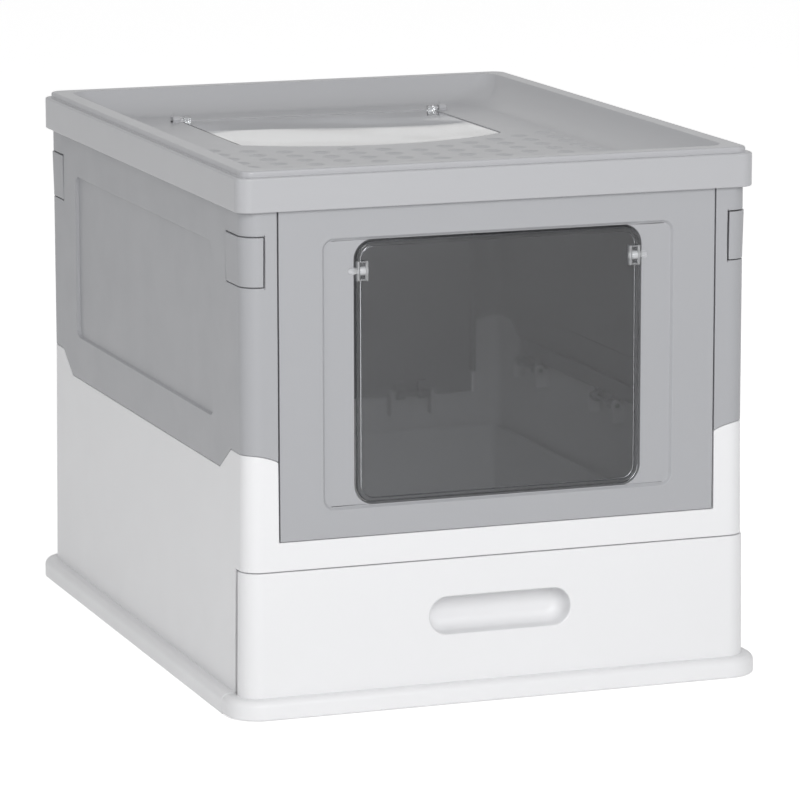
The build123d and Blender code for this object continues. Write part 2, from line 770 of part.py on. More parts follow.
def make_lid():
    """Grey lid: band, inset rim, dished floor with dimples, opening, ledge and hinge lugs."""
    band = block(half_x + lid_overhang, half_y + lid_overhang, band_bottom, band_top, lid_corner)
    rim = block(rim_x, rim_y, band_top - overlap, rim_top, lid_corner - lid_step / 2)
    rim = fillet(rim.edges().filter_by_position(Axis.Z, rim_top, rim_top), lid_edge_round)
    skirt_room = block(half_x + lid_fit, half_y + lid_fit, band_bottom - overlap, seat_z, corner_radius)
    hollow = block(half_x - panel_wall, half_y - panel_wall, seat_z - overlap, rim_top - lid_skin,
                   corner_radius - panel_wall)
    lid = band + rim - skirt_room - (hollow - dish(lid_skin)) - dish(0)

    ledge_top = dish_floor - top_flap_sheet - seat_gap
    ledge_low = ledge_top - hatch_ledge_thickness
    ledge = hatch_prism(-hatch_ledge, ledge_low, dish_floor - lid_skin + overlap / 2)
    ledge = ledge + hatch_prism(0, ledge_low, ledge_top)
    lid = lid - hatch_prism(0, dish_floor - 2 * lid_skin, dish_floor + overlap)
    through = hatch_prism(hatch_ledge, ledge_low - overlap, dish_floor + overlap)
    hinge_room = box(-hatch_half, hatch_half, hatch_ledge_rear, hatch_rear, ledge_low - overlap,
                     dish_floor + overlap)
    above = hatch_prism(0, ledge_top, dish_floor + overlap)
    lid = lid + (ledge - through - hinge_room - above)

    for side in (-1, 1):
        x0 = side * (hatch_half + top_lug_gap)
        x1 = x0 + side * top_lug_width
        eye = bar_x(x0, x1, top_hinge_y, top_hinge_z, top_lug_radius)
        foot = box(x0, x1, top_hinge_y - top_lug_radius, top_hinge_y + top_lug_radius,
                   dish_floor - lid_skin, top_hinge_z)
        bore = bar_x(side * (hatch_half - overlap), side * (top_pin_reach + seat_gap), top_hinge_y, top_hinge_z,
                     top_pin_radius + running_gap)
        lid = lid + eye + foot - bore

    cap_radius = (dimple_radius**2 + dimple_depth**2) / (2 * dimple_depth)
    ball = Sphere(cap_radius)
    balls = [Pos(x, y, dish_floor + cap_radius - dimple_depth) * ball for x, y in dimple_places()]
    return lid - balls


def make_top_flap():
    """Clear flap that lies in the lid opening, with a barrel at each rear corner."""
    low = dish_floor - top_flap_sheet
    sheet = hatch_prism(hatch_gap, low, dish_floor)
    behind = box(-hatch_half, hatch_half, top_hinge_y + top_flap_tail, hatch_rear + overlap,
                 low - overlap, dish_floor + overlap)
    flap = sheet - behind
    edge = hatch_half - hatch_gap
    for side in (-1, 1):
        flap = flap + bar_x(side * (edge - top_barrel_length), side * edge, top_hinge_y, top_hinge_z,
                            top_barrel_radius)
        flap = flap - bar_x(side * (top_pin_inner - fixed_gap), side * (edge + overlap), top_hinge_y, top_hinge_z,
                            top_pin_radius + fixed_gap)
    return flap


def make_top_pin():
    """Clear pin on the right of the top flap."""
    return bar_x(top_pin_inner, top_pin_reach, top_hinge_y, top_hinge_z, top_pin_radius)


# ---------------------------------------------------------------- nodes
right_panel = make_right_panel()
rear_right_latch = make_latch()
front_right_latch = flipped_y(rear_right_latch)
right_flap_pin = make_flap_pin()
right_top_pin = make_top_pin()
rear_rods = end_rods()
right_rods = side_rods()

nodes = {
    "base_frame": make_base(),
    "drawer_tray": make_tray(),
    "drawer_front": make_drawer_front(),
    "drawer_screws": make_screws(),
    "front_panel": make_front_panel(),
    "rear_panel": end_panel(),
    "right_panel": right_panel,
    "left_panel": flipped_x(right_panel),
    "latch_rear_right": rear_right_latch,
    "latch_front_right": front_right_latch,
    "latch_rear_left": flipped_x(rear_right_latch),
    "latch_front_left": turned(rear_right_latch),
    "latch_pins": make_latch_pins(),
    "rear_hinge_rods": Compound(children=rear_rods),
    "front_hinge_rods": Compound(children=[turned(rod) for rod in rear_rods]),
    "right_hinge_rods": Compound(children=right_rods),
    "left_hinge_rods": Compound(children=[turned(rod) for rod in right_rods]),
    "lid": make_lid(),
    "front_flap": make_front_flap(),
    "front_flap_pin_right": right_flap_pin,
    "front_flap_pin_left": flipped_x(right_flap_pin),
    "top_flap": make_top_flap(),
    "top_flap_pin_right": right_top_pin,
    "top_flap_pin_left": flipped_x(right_top_pin),
}

for name, shape in nodes.items():
    export_step(shape, f"parts/{name}.step")
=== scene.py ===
"""Drawer litter box: the visual model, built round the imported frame.

Sizes are in millimetres until a mesh is made. The front faces -Y, +X is to the right, +Z is up.
"""

import logging
import math
from dataclasses import dataclass, field
from enum import Enum
from typing import Callable, Sequence

import bmesh
import bpy
import numpy as np
from mathutils import Matrix, Vector
from mathutils.geometry import delaunay_2d_cdt


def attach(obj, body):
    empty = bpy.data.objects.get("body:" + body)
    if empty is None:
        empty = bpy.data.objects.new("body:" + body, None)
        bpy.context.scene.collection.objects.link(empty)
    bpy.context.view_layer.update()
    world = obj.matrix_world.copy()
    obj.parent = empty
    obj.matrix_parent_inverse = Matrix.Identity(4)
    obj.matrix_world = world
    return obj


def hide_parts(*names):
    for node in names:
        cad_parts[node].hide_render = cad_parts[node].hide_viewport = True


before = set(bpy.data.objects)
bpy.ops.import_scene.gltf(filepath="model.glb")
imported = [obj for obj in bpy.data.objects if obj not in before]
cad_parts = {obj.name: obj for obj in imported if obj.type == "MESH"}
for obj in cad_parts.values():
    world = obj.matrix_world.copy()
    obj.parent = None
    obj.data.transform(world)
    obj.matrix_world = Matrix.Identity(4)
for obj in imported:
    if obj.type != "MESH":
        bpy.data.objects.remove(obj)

logging.basicConfig(level=logging.INFO, format="%(levelname)s %(message)s")
log = logging.getLogger("litter_box")

Array = np.ndarray
Place = Callable[[Array, Array, Array], Array]

MM = 0.001
EDGE_STEPS = 3  # pieces of a rounded edge
EDGE_ANGLE = 32  # edges sharper than this, in degrees, are rounded
FLAT_WEIGHT = 80  # how far large faces rule the shading beside them
WELD_REACH = 3e-6  # metres within which points of a welded piece become one
SAME_POINT = 1e-6  # metres below which an edge has no length
CLEAR_INDEX = 1.49  # refractive index of clear acrylic
COAT_INDEX = 2.1  # index of the gloss on the top flap's face


class Axis(Enum):
    """A direction of the frame, and its place in a point."""

    X = 0
    Y = 1
    Z = 2


class Slot(Enum):
    """The record's material slots."""

    WHITE_SHELL = "white_shell"
    WHITE_TRAY = "white_tray"
    GREY_SHELL = "grey_shell"
    GREY_LID = "grey_lid"
    SMOKED_FLAP = "smoked_flap"
    CLEAR_FLAP = "clear_flap"
    CLEAR_PIN = "clear_pin"


# ---------------------------------------------------------------- surfaces
@dataclass
class Surface:
    """Points in millimetres and the faces between them: quads, and single polygons for the caps."""

    points: Array
    quads: Array
    caps: list[Array] = field(default_factory=list)

    def __add__(self, other: "Surface") -> "Surface":
        """Both surfaces as one, with nothing welded."""
        shift = len(self.points)
        return Surface(
            np.vstack((self.points, other.points)),
            np.vstack((self.quads, other.quads + shift)),
            self.caps + [cap + shift for cap in other.caps],
        )

    def mirrored(self, axis: Axis) -> "Surface":
        """The mirror image across the middle, with its faces turned so that they still point outwards."""
        sign = np.ones(3)
        sign[axis.value] = -1.0
        return Surface(self.points * sign, self.quads[:, ::-1], [cap[::-1] for cap in self.caps])

    def turned(self) -> "Surface":
        """The same surface after half a turn about the upright axis."""
        return Surface(self.points * (-1.0, -1.0, 1.0), self.quads, self.caps)

    def used(self) -> "Surface":
        """The surface without the points that no face uses."""
        kept = np.unique(np.concatenate([self.quads.ravel(), *self.caps]).astype(int))
        place = np.zeros(len(self.points), int)
        place[kept] = np.arange(len(kept))
        return Surface(self.points[kept], place[self.quads], [place[cap] for cap in self.caps])

    def borders(self) -> Array:
        """Edges that only one face has, as pairs in that face's direction."""
        runs = [self.quads[:, [i, (i + 1) % 4]] for i in range(4)]
        runs += [np.stack((cap, np.roll(cap, -1)), 1) for cap in self.caps]
        edges = np.vstack(runs)
        count = len(self.points)
        return edges[~np.isin(edges[:, 0] * count + edges[:, 1], edges[:, 1] * count + edges[:, 0])]

    def walled(self, back: Array) -> "Surface":
        """A closed wall: this surface, the same faces through the back points, and rims between.

        Args:
            back: for each point of this surface, its place on the inner face.

        Returns:
            The closed surface.
        """
        edges, shift = self.borders(), len(self.points)
        rims = np.stack((edges[:, 1], edges[:, 0], edges[:, 0] + shift, edges[:, 1] + shift), 1)
        return Surface(
            np.vstack((self.points, back)),
            np.vstack((self.quads, self.quads[:, ::-1] + shift, rims)),
            self.caps + [cap[::-1] + shift for cap in self.caps],
        ).used()


def joined(surfaces: Sequence[Surface]) -> Surface:
    """Several surfaces as one."""
    whole = surfaces[0]
    for other in surfaces[1:]:
        whole = whole + other
    return whole


def stack(loops: Array, capped: bool = True, ring: bool = False) -> Surface:
    """Surface through closed loops: point i of loop k joins points i and i + 1 of loop k + 1.

    Args:
        loops: (loops, points, 3), each loop counter-clockwise about the way that the stack goes.
        capped: close the first and the last loop with a polygon.
        ring: join the last loop to the first instead.

    Returns:
        The surface, with its faces outwards.
    """
    rows, count = loops.shape[:2]
    index = np.arange(rows * count).reshape(rows, count)
    if ring:
        index = np.vstack((index, index[:1]))
    beside = np.roll(index, -1, 1)
    quads = np.stack((index[:-1], beside[:-1], beside[1:], index[1:]), -1).reshape(-1, 4)
    caps = [index[0, ::-1], index[-1]] if capped and not ring else []
    return Surface(loops.reshape(-1, 3), quads, caps)


def block(low: Sequence[float], high: Sequence[float]) -> Surface:
    """Box between two corners, as a stack of two rectangles."""
    (x0, y0, z0), (x1, y1, z1) = np.minimum(low, high), np.maximum(low, high)
    base = np.array([(x0, y0), (x1, y0), (x1, y1), (x0, y1)])
    return prism(base, z0, z1)


def prism(outline: Array, z0: float, z1: float) -> Surface:
    """Upright prism on a counter-clockwise outline."""
    levels = [np.column_stack((outline, np.full(len(outline), z))) for z in (z0, z1)]
    return stack(np.array(levels))


def revolved(
    profile: Sequence[tuple[float, float]],
    axis: Axis,
    centre: Sequence[float],
    steps: int = 28,
    ring: bool = False,
) -> Surface:
    """Round piece: at each (along, radius) of the profile, a circle of that radius about the axis.

    Args:
        profile: pairs of distance along the axis and radius.
        axis: the axis it turns about.
        centre: a point on the axis; its own coordinate along the axis is not used.
        steps: points of each circle.
        ring: the profile is closed, as for a tube.

    Returns:
        The closed surface.
    """
    turn = np.arange(steps) * 2 * math.pi / steps
    along, radius = np.array(profile, float).T
    loops = np.empty((len(along), steps, 3))
    first, second = (axis.value + 1) % 3, (axis.value + 2) % 3
    loops[..., axis.value] = along[:, None]
    loops[..., first] = centre[first] + radius[:, None] * np.cos(turn)
    loops[..., second] = centre[second] + radius[:, None] * np.sin(turn)
    return stack(loops, ring=ring)


def tube(low: float, high: float, outer: float, bore: float, axis: Axis, centre: Sequence[float]) -> Surface:
    """Round tube along an axis, as the closed profile of its wall turned about it."""
    wall = [(low, outer), (high, outer), (high, bore), (low, bore)]
    return revolved(wall, axis, centre, ring=True)


def rounded_line(
    points: Sequence[Sequence[float]], radii: Sequence[float], closed: bool = False, steps: int = 5
) -> Array:
    """Polyline with an arc at each corner: from tangent point to tangent point about the arc's centre.

    Args:
        points: corners in a plane.
        radii: radius at each corner, 0 to keep it sharp.
        closed: the line ends where it starts.
        steps: pieces of each arc.

    Returns:
        The points of the line, (n, 2).
    """
    corners = np.array(points, float)
    made: list[Array] = []
    for i, radius in enumerate(radii):
        here = corners[i]
        if radius <= 0 or (not closed and i in (0, len(corners) - 1)):
            made.append(here[None])
            continue
        before = corners[i - 1] - here
        after = corners[(i + 1) % len(corners)] - here
        before, after = before / np.linalg.norm(before), after / np.linalg.norm(after)
        half = math.acos(float(np.clip(before @ after, -1, 1))) / 2
        middle = (before + after) / np.linalg.norm(before + after)
        centre = here + middle * radius / math.sin(half)
        start = here + before * radius / math.tan(half) - centre
        end = here + after * radius / math.tan(half) - centre
        share = np.linspace(0, 1, steps + 1)[:, None]
        sweep = math.pi - 2 * half
        arc = (np.sin((1 - share) * sweep) * start + np.sin(share * sweep) * end) / math.sin(sweep)
        made.append(centre + arc)
    return np.vstack(made)


def rounded_rectangle(half_a: Array, half_b: Array, radius: Array, arc: int = 8, side: int = 4) -> Array:
    """Rounded rectangles with matching points: quarter arcs with straight runs between them.

    Args:
        half_a: half widths, one for each rectangle.
        half_b: half heights.
        radius: corner radii.
        arc: pieces of each quarter arc.
        side: pieces of each straight run.

    Returns:
        (rectangles, points, 2), counter-clockwise from the lower left corner.
    """
    sizes = (np.atleast_1d(np.asarray(size, float)) for size in (half_a, half_b, radius))
    half_a, half_b, radius = (size[:, None, None] for size in sizes)
    corner_a, corner_b = half_a - radius, half_b - radius
    turn = np.linspace(0, math.pi / 2, arc + 1)
    runs: list[Array] = []
    for quarter in range(4):
        angle = (turn + math.pi + quarter * math.pi / 2)[None, :, None]
        sign_a = -1.0 if quarter in (0, 3) else 1.0
        sign_b = -1.0 if quarter in (0, 1) else 1.0
        runs.append(
            np.concatenate(
                (sign_a * corner_a + radius * np.cos(angle), sign_b * corner_b + radius * np.sin(angle)), -1
            )
        )
    loops: list[Array] = []
    for quarter, run in enumerate(runs):
        following = runs[(quarter + 1) % 4][:, :1]
        share = (np.arange(1, side) / side)[None, :, None]
        loops += [run, run[:, -1:] * (1 - share) + following * share]
    return np.concatenate(loops, 1)


def sorted_lines(*groups: Sequence[float] | Array) -> Array:
    """Grid lines from several groups, in order and each once."""
    return np.unique(np.round(np.concatenate([np.atleast_1d(np.asarray(g, float)) for g in groups]), 4))


def corner_lines(half: float, radius: float, margin: float, middle: float = 0.0, steps: int = 5) -> Array:
    """Grid lines through a rounded rectangle's corners, at equal angles about each corner's centre.

    Args:
        half: half size of the rounded rectangle.
        radius: its corner radius.
        margin: how far the grid's rectangle stands outside it.
        middle: the rectangle's middle.
        steps: lines in each half of a quarter arc.

    Returns:
        The lines on both sides of the middle.
    """
    places = (half - radius + radius * np.tan(np.linspace(0, math.pi / 4, steps + 1))) * (1 + margin / half)
    return np.concatenate((middle - places, middle + places))


@dataclass(frozen=True)
class Footprint:
    """Rounded rectangle seen from above; u runs along it, counter-clockwise from the front's middle."""

    half_x: float
    half_y: float
    radius: float

    @property
    def flat_x(self) -> float:
        """Half of the straight front."""
        return self.half_x - self.radius

    @property
    def flat_y(self) -> float:
        """Half of a straight side."""
        return self.half_y - self.radius

    @property
    def quarter(self) -> float:
        """Length of a corner arc."""
        return self.radius * math.pi / 2

    @property
    def half_length(self) -> float:
        """Distance from the front's middle to the rear's middle."""
        return 2 * (self.flat_x + self.quarter + self.flat_y)

    def side(self, y: float) -> float:
        """Distance along to a place on the right side."""
        return self.flat_x + self.quarter + self.flat_y + y

    def rear(self, x: float) -> float:
        """Distance along to a place on the rear."""
        return self.half_length - x

    def arcs(self, steps: int = 8) -> Array:
        """Distances along to the steps of both right corners."""
        front = self.flat_x + np.linspace(0, self.quarter, steps + 1)
        return np.concatenate((front, front + self.quarter + 2 * self.flat_y))

    def locate(self, u: Array) -> tuple[Array, Array]:
        """Points and outward normals: straight runs, and arcs about the corner centres.

        Args:
            u: distances along, negative on the left.

        Returns:
            Points and normals in the plane, each (n, 2).
        """
        u = (np.asarray(u, float) + self.half_length) % (2 * self.half_length) - self.half_length
        side, a = np.where(u < 0, -1.0, 1.0), np.abs(u)
        first = np.clip((a - self.flat_x) / self.quarter, 0, 1) * math.pi / 2
        run = a - self.flat_x - self.quarter
        second = np.clip((run - 2 * self.flat_y) / self.quarter, 0, 1) * math.pi / 2
        turn = first + second - math.pi / 2
        normal = np.stack((np.cos(turn), np.sin(turn)), -1)
        past = np.clip(run - 2 * self.flat_y - self.quarter, 0, None)
        x = np.minimum(a, self.flat_x) - past
        y = -self.flat_y + np.clip(run, 0, 2 * self.flat_y)
        point = np.stack((x, y), -1) + self.radius * normal
        mirror = np.stack((side, np.ones_like(side)), -1)
        return point * mirror, normal * mirror


@dataclass(frozen=True)
class Ring:
    """One outline of an inset: a rounded rectangle about the inset's middle, at its own depth.

    Attributes:
        half_u: half size along the wall.
        half_v: half height.
        radius: corner radius.
        depth: distance behind the outer face.
        lift: how far its upper half is pushed up.
    """

    half_u: float
    half_v: float
    radius: float
    depth: float
    lift: float = 0.0

    def grown(self, by: float, depth: float, lift: float | None = None) -> "Ring":
        """The same outline, larger and at another depth."""
        raised = self.lift if lift is None else lift
        return Ring(self.half_u + by, self.half_v + by, self.radius + by, depth, raised)


@dataclass
class Skin:
    """A wall on a chart: a grid over (u, v), with parts cut out and insets, given a thickness.

    Attributes:
        u: grid lines along the wall.
        v: grid lines up the wall.
        place: puts (u, v, depth) in space.
        thickness: depth of the inner face.
        wraps: the last line along the wall is the first one.
    """

    u: Array
    v: Array
    place: Place
    thickness: float
    wraps: bool = False

    def __post_init__(self) -> None:
        """Starts with every cell of the grid kept."""
        self._keep = np.ones((len(self.u) - 1, len(self.v) - 1), bool)
        self._column = np.arange(len(self.u))
        if self.wraps:
            self._column[-1] = 0
        spots = np.stack(np.meshgrid(self.u, self.v, indexing="ij"), -1).reshape(-1, 2)
        depth = np.zeros(len(spots))
        self._front = [self.place(spots[:, 0], spots[:, 1], depth)]
        self._back = [self.place(spots[:, 0], spots[:, 1], depth + self.thickness)]
        self._quads: list[Array] = []
        self._caps: list[Array] = []
        self._count = len(spots)

    def _cells(self, u0: float, u1: float, v0: float, v1: float) -> Array:
        """Mask of the cells whose middles lie in a rectangle."""
        middle_u, middle_v = (self.u[1:] + self.u[:-1]) / 2, (self.v[1:] + self.v[:-1]) / 2
        return np.outer((middle_u > u0) & (middle_u < u1), (middle_v > v0) & (middle_v < v1))

    def cut(self, u0: float, u1: float, v0: float, v1: float) -> None:
        """Takes the cells of a rectangle out of the wall."""
        self._keep &= ~self._cells(u0, u1, v0, v1)

    def inset(
        self,
        low: Sequence[float],
        high: Sequence[float],
        rings: Sequence[Ring],
        backs: Sequence[Ring],
        capped: bool,
    ) -> None:
        """Replaces a rectangle by rings of quads that go from its edge through the given outlines.

        A point of the edge keeps, on every outline, its share of the straight run or its angle on
        the corner arc, both taken from the first outline.

        Args:
            low: lowest u and v of the rectangle, both grid lines.
            high: highest u and v.
            rings: the outlines, from the outside in.
            backs: the matching outlines of the inner face.
            capped: close the last outline.
        """
        self.cut(low[0], high[0], low[1], high[1])
        i0, i1 = (int(np.abs(self.u - u).argmin()) for u in (low[0], high[0]))
        j0, j1 = (int(np.abs(self.v - v).argmin()) for v in (low[1], high[1]))
        across, up = np.arange(i0, i1), np.arange(j0, j1)
        ii = np.concatenate((across, np.full(len(up), i1), across[::-1] + 1, np.full(len(up), i0)))
        jj = np.concatenate((np.full(len(across), j0), up, np.full(len(across), j1), up[::-1] + 1))
        middle = (np.array(low) + np.array(high)) / 2
        half = (np.array(high) - np.array(low)) / 2
        share = (np.stack((self.u[ii], self.v[jj]), 1) - middle) / half

        first = rings[0]
        size = np.array((first.half_u, first.half_v))
        core = size - first.radius
        inner = np.clip(share * size, -core, core)
        arm = share * size - inner
        arm /= np.linalg.norm(arm, axis=1, keepdims=True)
        straight = np.where(core > 0, inner / np.where(core > 0, core, 1), 0)
        rise = np.clip(share[:, 1], 0, 1)
        rise = rise * rise * (3 - 2 * rise)

        indices = [self._column[ii] * len(self.v) + jj]
        for ring, back in zip(rings, backs):
            for one, points in ((ring, self._front), (back, self._back)):
                reach = np.array((one.half_u, one.half_v)) - one.radius
                spot = middle + straight * reach + arm * one.radius
                depth = np.full(len(spot), one.depth)
                points.append(self.place(spot[:, 0], spot[:, 1] + one.lift * rise, depth))
            indices.append(self._count + np.arange(len(ii)))
            self._count += len(ii)
        for outer, nearer in zip(indices, indices[1:]):
            quad = (outer, np.roll(outer, -1), np.roll(nearer, -1), nearer)
            self._quads.append(np.stack(quad, -1))
        if capped:
            self._caps.append(indices[-1])

    def surface(self) -> Surface:
        """The closed wall, with its inner face and rims."""
        i, j = np.nonzero(self._keep)
        rows = len(self.v)
        a, b = self._column[i] * rows + j, self._column[i + 1] * rows + j
        quads = np.vstack([np.stack((a, b, b + 1, a + 1), -1), *self._quads])
        outer = Surface(np.vstack(self._front), quads, self._caps)
        return outer.walled(np.vstack(self._back))


def swept(u: Array, footprint: Footprint, profile: Array) -> Surface:
    """A closed profile of (outwards, height) carried along a stretch of a footprint, with flat ends."""
    point, normal = footprint.locate(u)
    plan = point[:, None] + profile[None, :, :1] * normal[:, None]
    height = np.broadcast_to(profile[None, :, 1:], (len(u), len(profile), 1))
    return stack(np.concatenate((plan, height), -1))


def inside(points: Array, outline: Array) -> Array:
    """Which points lie in a closed outline: a ray to the right crosses it an odd number of times."""
    x, y = points[:, :1], points[:, 1:]
    x0, y0 = outline.T
    x1, y1 = np.roll(outline, -1, 0).T
    spans = (y0 > y) != (y1 > y)
    rise = np.where(y1 == y0, 1, y1 - y0)
    return (spans & (x < x0 + (y - y0) * (x1 - x0) / rise)).sum(1) % 2 == 1


def flat_sheet(outline: Array, holes: Sequence[Array], z: float) -> Surface:
    """Level face between an outline and its holes, with a point at every point of their edges.

    Args:
        outline: outer edge, (n, 2).
        holes: inner edges.
        z: its height.

    Returns:
        Triangles, as polygons that face up.
    """
    loops = [outline, *holes]
    starts = np.cumsum([0] + [len(loop) for loop in loops])
    edges = [
        np.stack((np.arange(len(loop)), np.roll(np.arange(len(loop)), -1)), 1) + start
        for loop, start in zip(loops, starts)
    ]
    flat = [Vector(p) for p in np.vstack(loops).tolist()]
    points, _, faces, *_ = delaunay_2d_cdt(flat, np.vstack(edges).tolist(), [], 0, 1e-5)
    spots, triangles = np.array(points, float), np.array(faces, int)
    centre = spots[triangles].mean(1)
    kept = inside(centre, outline)
    for hole in holes:
        near = kept & (np.abs(centre - hole.mean(0)) < np.ptp(hole, 0)).all(1)
        kept[near] = ~inside(centre[near], hole)
    levels = np.column_stack((spots, np.full(len(spots), z)))
    return Surface(levels, np.empty((0, 4), int), list(triangles[kept]))


# ---------------------------------------------------------------- shader groups
@dataclass
class NodeSheet:
    """A node tree with short ways to add and join nodes."""

    tree: bpy.types.NodeTree

    def add(self, kind: str, **settings: object) -> bpy.types.Node:
        """Adds a node and sets its plain properties.

        Args:
            kind: the node's type name.
            **settings: properties of the node.

        Returns:
            The node.
        """
        node = self.tree.nodes.new(kind)
        for name, value in settings.items():
            setattr(node, name, value)
        return node

    def join(self, source: bpy.types.NodeSocket, target: bpy.types.NodeSocket) -> None:
        """Links two sockets."""
        self.tree.links.new(source, target)

    def feed(self, target: bpy.types.NodeSocket, value: object) -> None:
        """Links a socket, or sets it to a plain value."""
        if isinstance(value, bpy.types.NodeSocket):
            self.join(value, target)
        else:
            target.default_value = value

    def math(self, operation: str, first: object, second: object = 0.0) -> bpy.types.NodeSocket:
        """Result of a sum on two values or sockets."""
        node = self.add("ShaderNodeMath", operation=operation)
        self.feed(node.inputs[0], first)
        self.feed(node.inputs[1], second)
        return node.outputs[0]

    def noise(
        self, place: object, scale: object, detail: float = 2.0, rough: float = 0.5
    ) -> bpy.types.NodeSocket:
        """Noise of a given scale at a place, from 0 to 1."""
        node = self.add("ShaderNodeTexNoise")
        self.join(place, node.inputs["Vector"])
        self.feed(node.inputs["Scale"], scale)
        node.inputs["Detail"].default_value = detail
        node.inputs["Roughness"].default_value = rough
        return node.outputs["Fac"]

    def ranged(
        self, value: object, low: float, high: float, to_low: float, to_high: float
    ) -> bpy.types.NodeSocket:
        """A value carried from one range to another and held inside it."""
        node = self.add("ShaderNodeMapRange")
        self.feed(node.inputs["Value"], value)
        for name, number in (("From Min", low), ("From Max", high), ("To Min", to_low), ("To Max", to_high)):
            node.inputs[name].default_value = number
        return node.outputs["Result"]


def new_group(
    name: str, inputs: Sequence[tuple[str, str, object]], outputs: Sequence[tuple[str, str]]
) -> tuple[NodeSheet, bpy.types.Node, bpy.types.Node]:
    """An empty shader node group with named sockets.

    Args:
        name: the group's name.
        inputs: name, kind and value of each input.
        outputs: name and kind of each output.

    Returns:
        The group's sheet, its input node and its output node.
    """
    group = bpy.data.node_groups.new(name, "ShaderNodeTree")
    for label, kind, value in inputs:
        socket = group.interface.new_socket(label, in_out="INPUT", socket_type=f"NodeSocket{kind}")
        socket.default_value = value
    for label, kind in outputs:
        group.interface.new_socket(label, in_out="OUTPUT", socket_type=f"NodeSocket{kind}")
    sheet = NodeSheet(group)
    return sheet, sheet.add("NodeGroupInput"), sheet.add("NodeGroupOutput")


def moulded_group() -> bpy.types.NodeTree:
    """Moulded plastic: faint clouding of the colour, fine spark grain, rubbed and dusty spots.

    Returns:
        The group, with outputs Color, Roughness and Height.
    """
    sheet, given, out = new_group(
        "moulded_plastic",
        [
            ("Color", "Color", (0.5, 0.5, 0.5, 1.0)),
            ("Clouding", "Float", 0.02),
            ("Grain Scale", "Float", 1600.0),
            ("Roughness", "Float", 0.5),
            ("Rubbing", "Float", 0.06),
            ("Dust", "Float", 0.03),
        ],
        [("Color", "Color"), ("Roughness", "Float"), ("Height", "Float")],
    )
    place = sheet.add("ShaderNodeTexCoord").outputs["Object"]
    cloud = sheet.noise(place, 7.0, 3.0)
    patches = sheet.noise(place, 38.0, 4.0, 0.6)
    grain = sheet.noise(place, given.outputs["Grain Scale"], 1.0)
    wide = sheet.noise(place, 420.0, 2.0)

    shade = sheet.math("MULTIPLY", sheet.math("SUBTRACT", cloud, 0.5), given.outputs["Clouding"])
    fine_share = sheet.math("MULTIPLY", given.outputs["Clouding"], 0.8)
    fine = sheet.math("MULTIPLY", sheet.math("SUBTRACT", grain, 0.5), fine_share)
    value = sheet.math("ADD", sheet.math("ADD", shade, fine), 1.0)
    tone = sheet.add("ShaderNodeHueSaturation")
    sheet.join(given.outputs["Color"], tone.inputs["Color"])
    sheet.join(value, tone.inputs["Value"])

    height = sheet.add("ShaderNodeSeparateXYZ")
    sheet.join(place, height.inputs[0])
    low = sheet.ranged(height.outputs["Z"], 0.0, 0.09, 1.0, 0.0)
    dusty = sheet.math("MULTIPLY", sheet.math("MULTIPLY", low, patches), given.outputs["Dust"])
    dust = sheet.add("ShaderNodeMix", data_type="RGBA")
    sheet.join(dusty, dust.inputs["Factor"])
    sheet.join(tone.outputs["Color"], dust.inputs[6])
    dust.inputs[7].default_value = (0.52, 0.49, 0.45, 1.0)

    rubbed = sheet.math("MULTIPLY", sheet.ranged(patches, 0.35, 0.7, -0.5, 0.5), given.outputs["Rubbing"])
    rough = sheet.math("ADD", sheet.math("ADD", given.outputs["Roughness"], rubbed), dusty)
    relief = sheet.math("ADD", grain, sheet.math("MULTIPLY", wide, 0.6))
    sheet.join(dust.outputs[2], out.inputs["Color"])
    sheet.join(rough, out.inputs["Roughness"])
    sheet.join(relief, out.inputs["Height"])
    return sheet.tree


def clear_group() -> bpy.types.NodeTree:
    """Clear plastic: hair scratches and a faint haze in its gloss, and slow waves in its face.

    Returns:
        The group, with outputs Color, Roughness and Height.
    """
    sheet, given, out = new_group(
        "clear_plastic",
        [
            ("Color", "Color", (1.0, 1.0, 1.0, 1.0)),
            ("Roughness", "Float", 0.05),
            ("Haze", "Float", 0.05),
            ("Waves", "Float", 1.0),
        ],
        [("Color", "Color"), ("Roughness", "Float"), ("Height", "Float")],
    )
    place = sheet.add("ShaderNodeTexCoord").outputs["Object"]
    stretch = sheet.add("ShaderNodeMapping")
    sheet.join(place, stretch.inputs["Vector"])
    stretch.inputs["Rotation"].default_value = (0.2, 0.5, 0.6)
    stretch.inputs["Scale"].default_value = (1.0, 14.0, 14.0)
    hair = sheet.noise(stretch.outputs[0], 60.0, 3.0, 0.7)
    haze = sheet.noise(place, 26.0, 3.0)
    waves = sheet.noise(place, 11.0, 1.0)
    lines = sheet.ranged(hair, 0.6, 0.72, 0.0, 1.0)
    worn = sheet.math("ADD", sheet.math("MULTIPLY", lines, 0.6), sheet.ranged(haze, 0.4, 0.7, 0.0, 1.0))
    rough = sheet.math("ADD", given.outputs["Roughness"], sheet.math("MULTIPLY", worn, given.outputs["Haze"]))
    tone = sheet.add("ShaderNodeHueSaturation")
    sheet.join(given.outputs["Color"], tone.inputs["Color"])
    sheet.join(sheet.ranged(haze, 0.3, 0.7, 0.985, 1.0), tone.inputs["Value"])
    sheet.join(tone.outputs["Color"], out.inputs["Color"])
    sheet.join(rough, out.inputs["Roughness"])
    sheet.join(sheet.math("MULTIPLY", waves, given.outputs["Waves"]), out.inputs["Height"])
    return sheet.tree


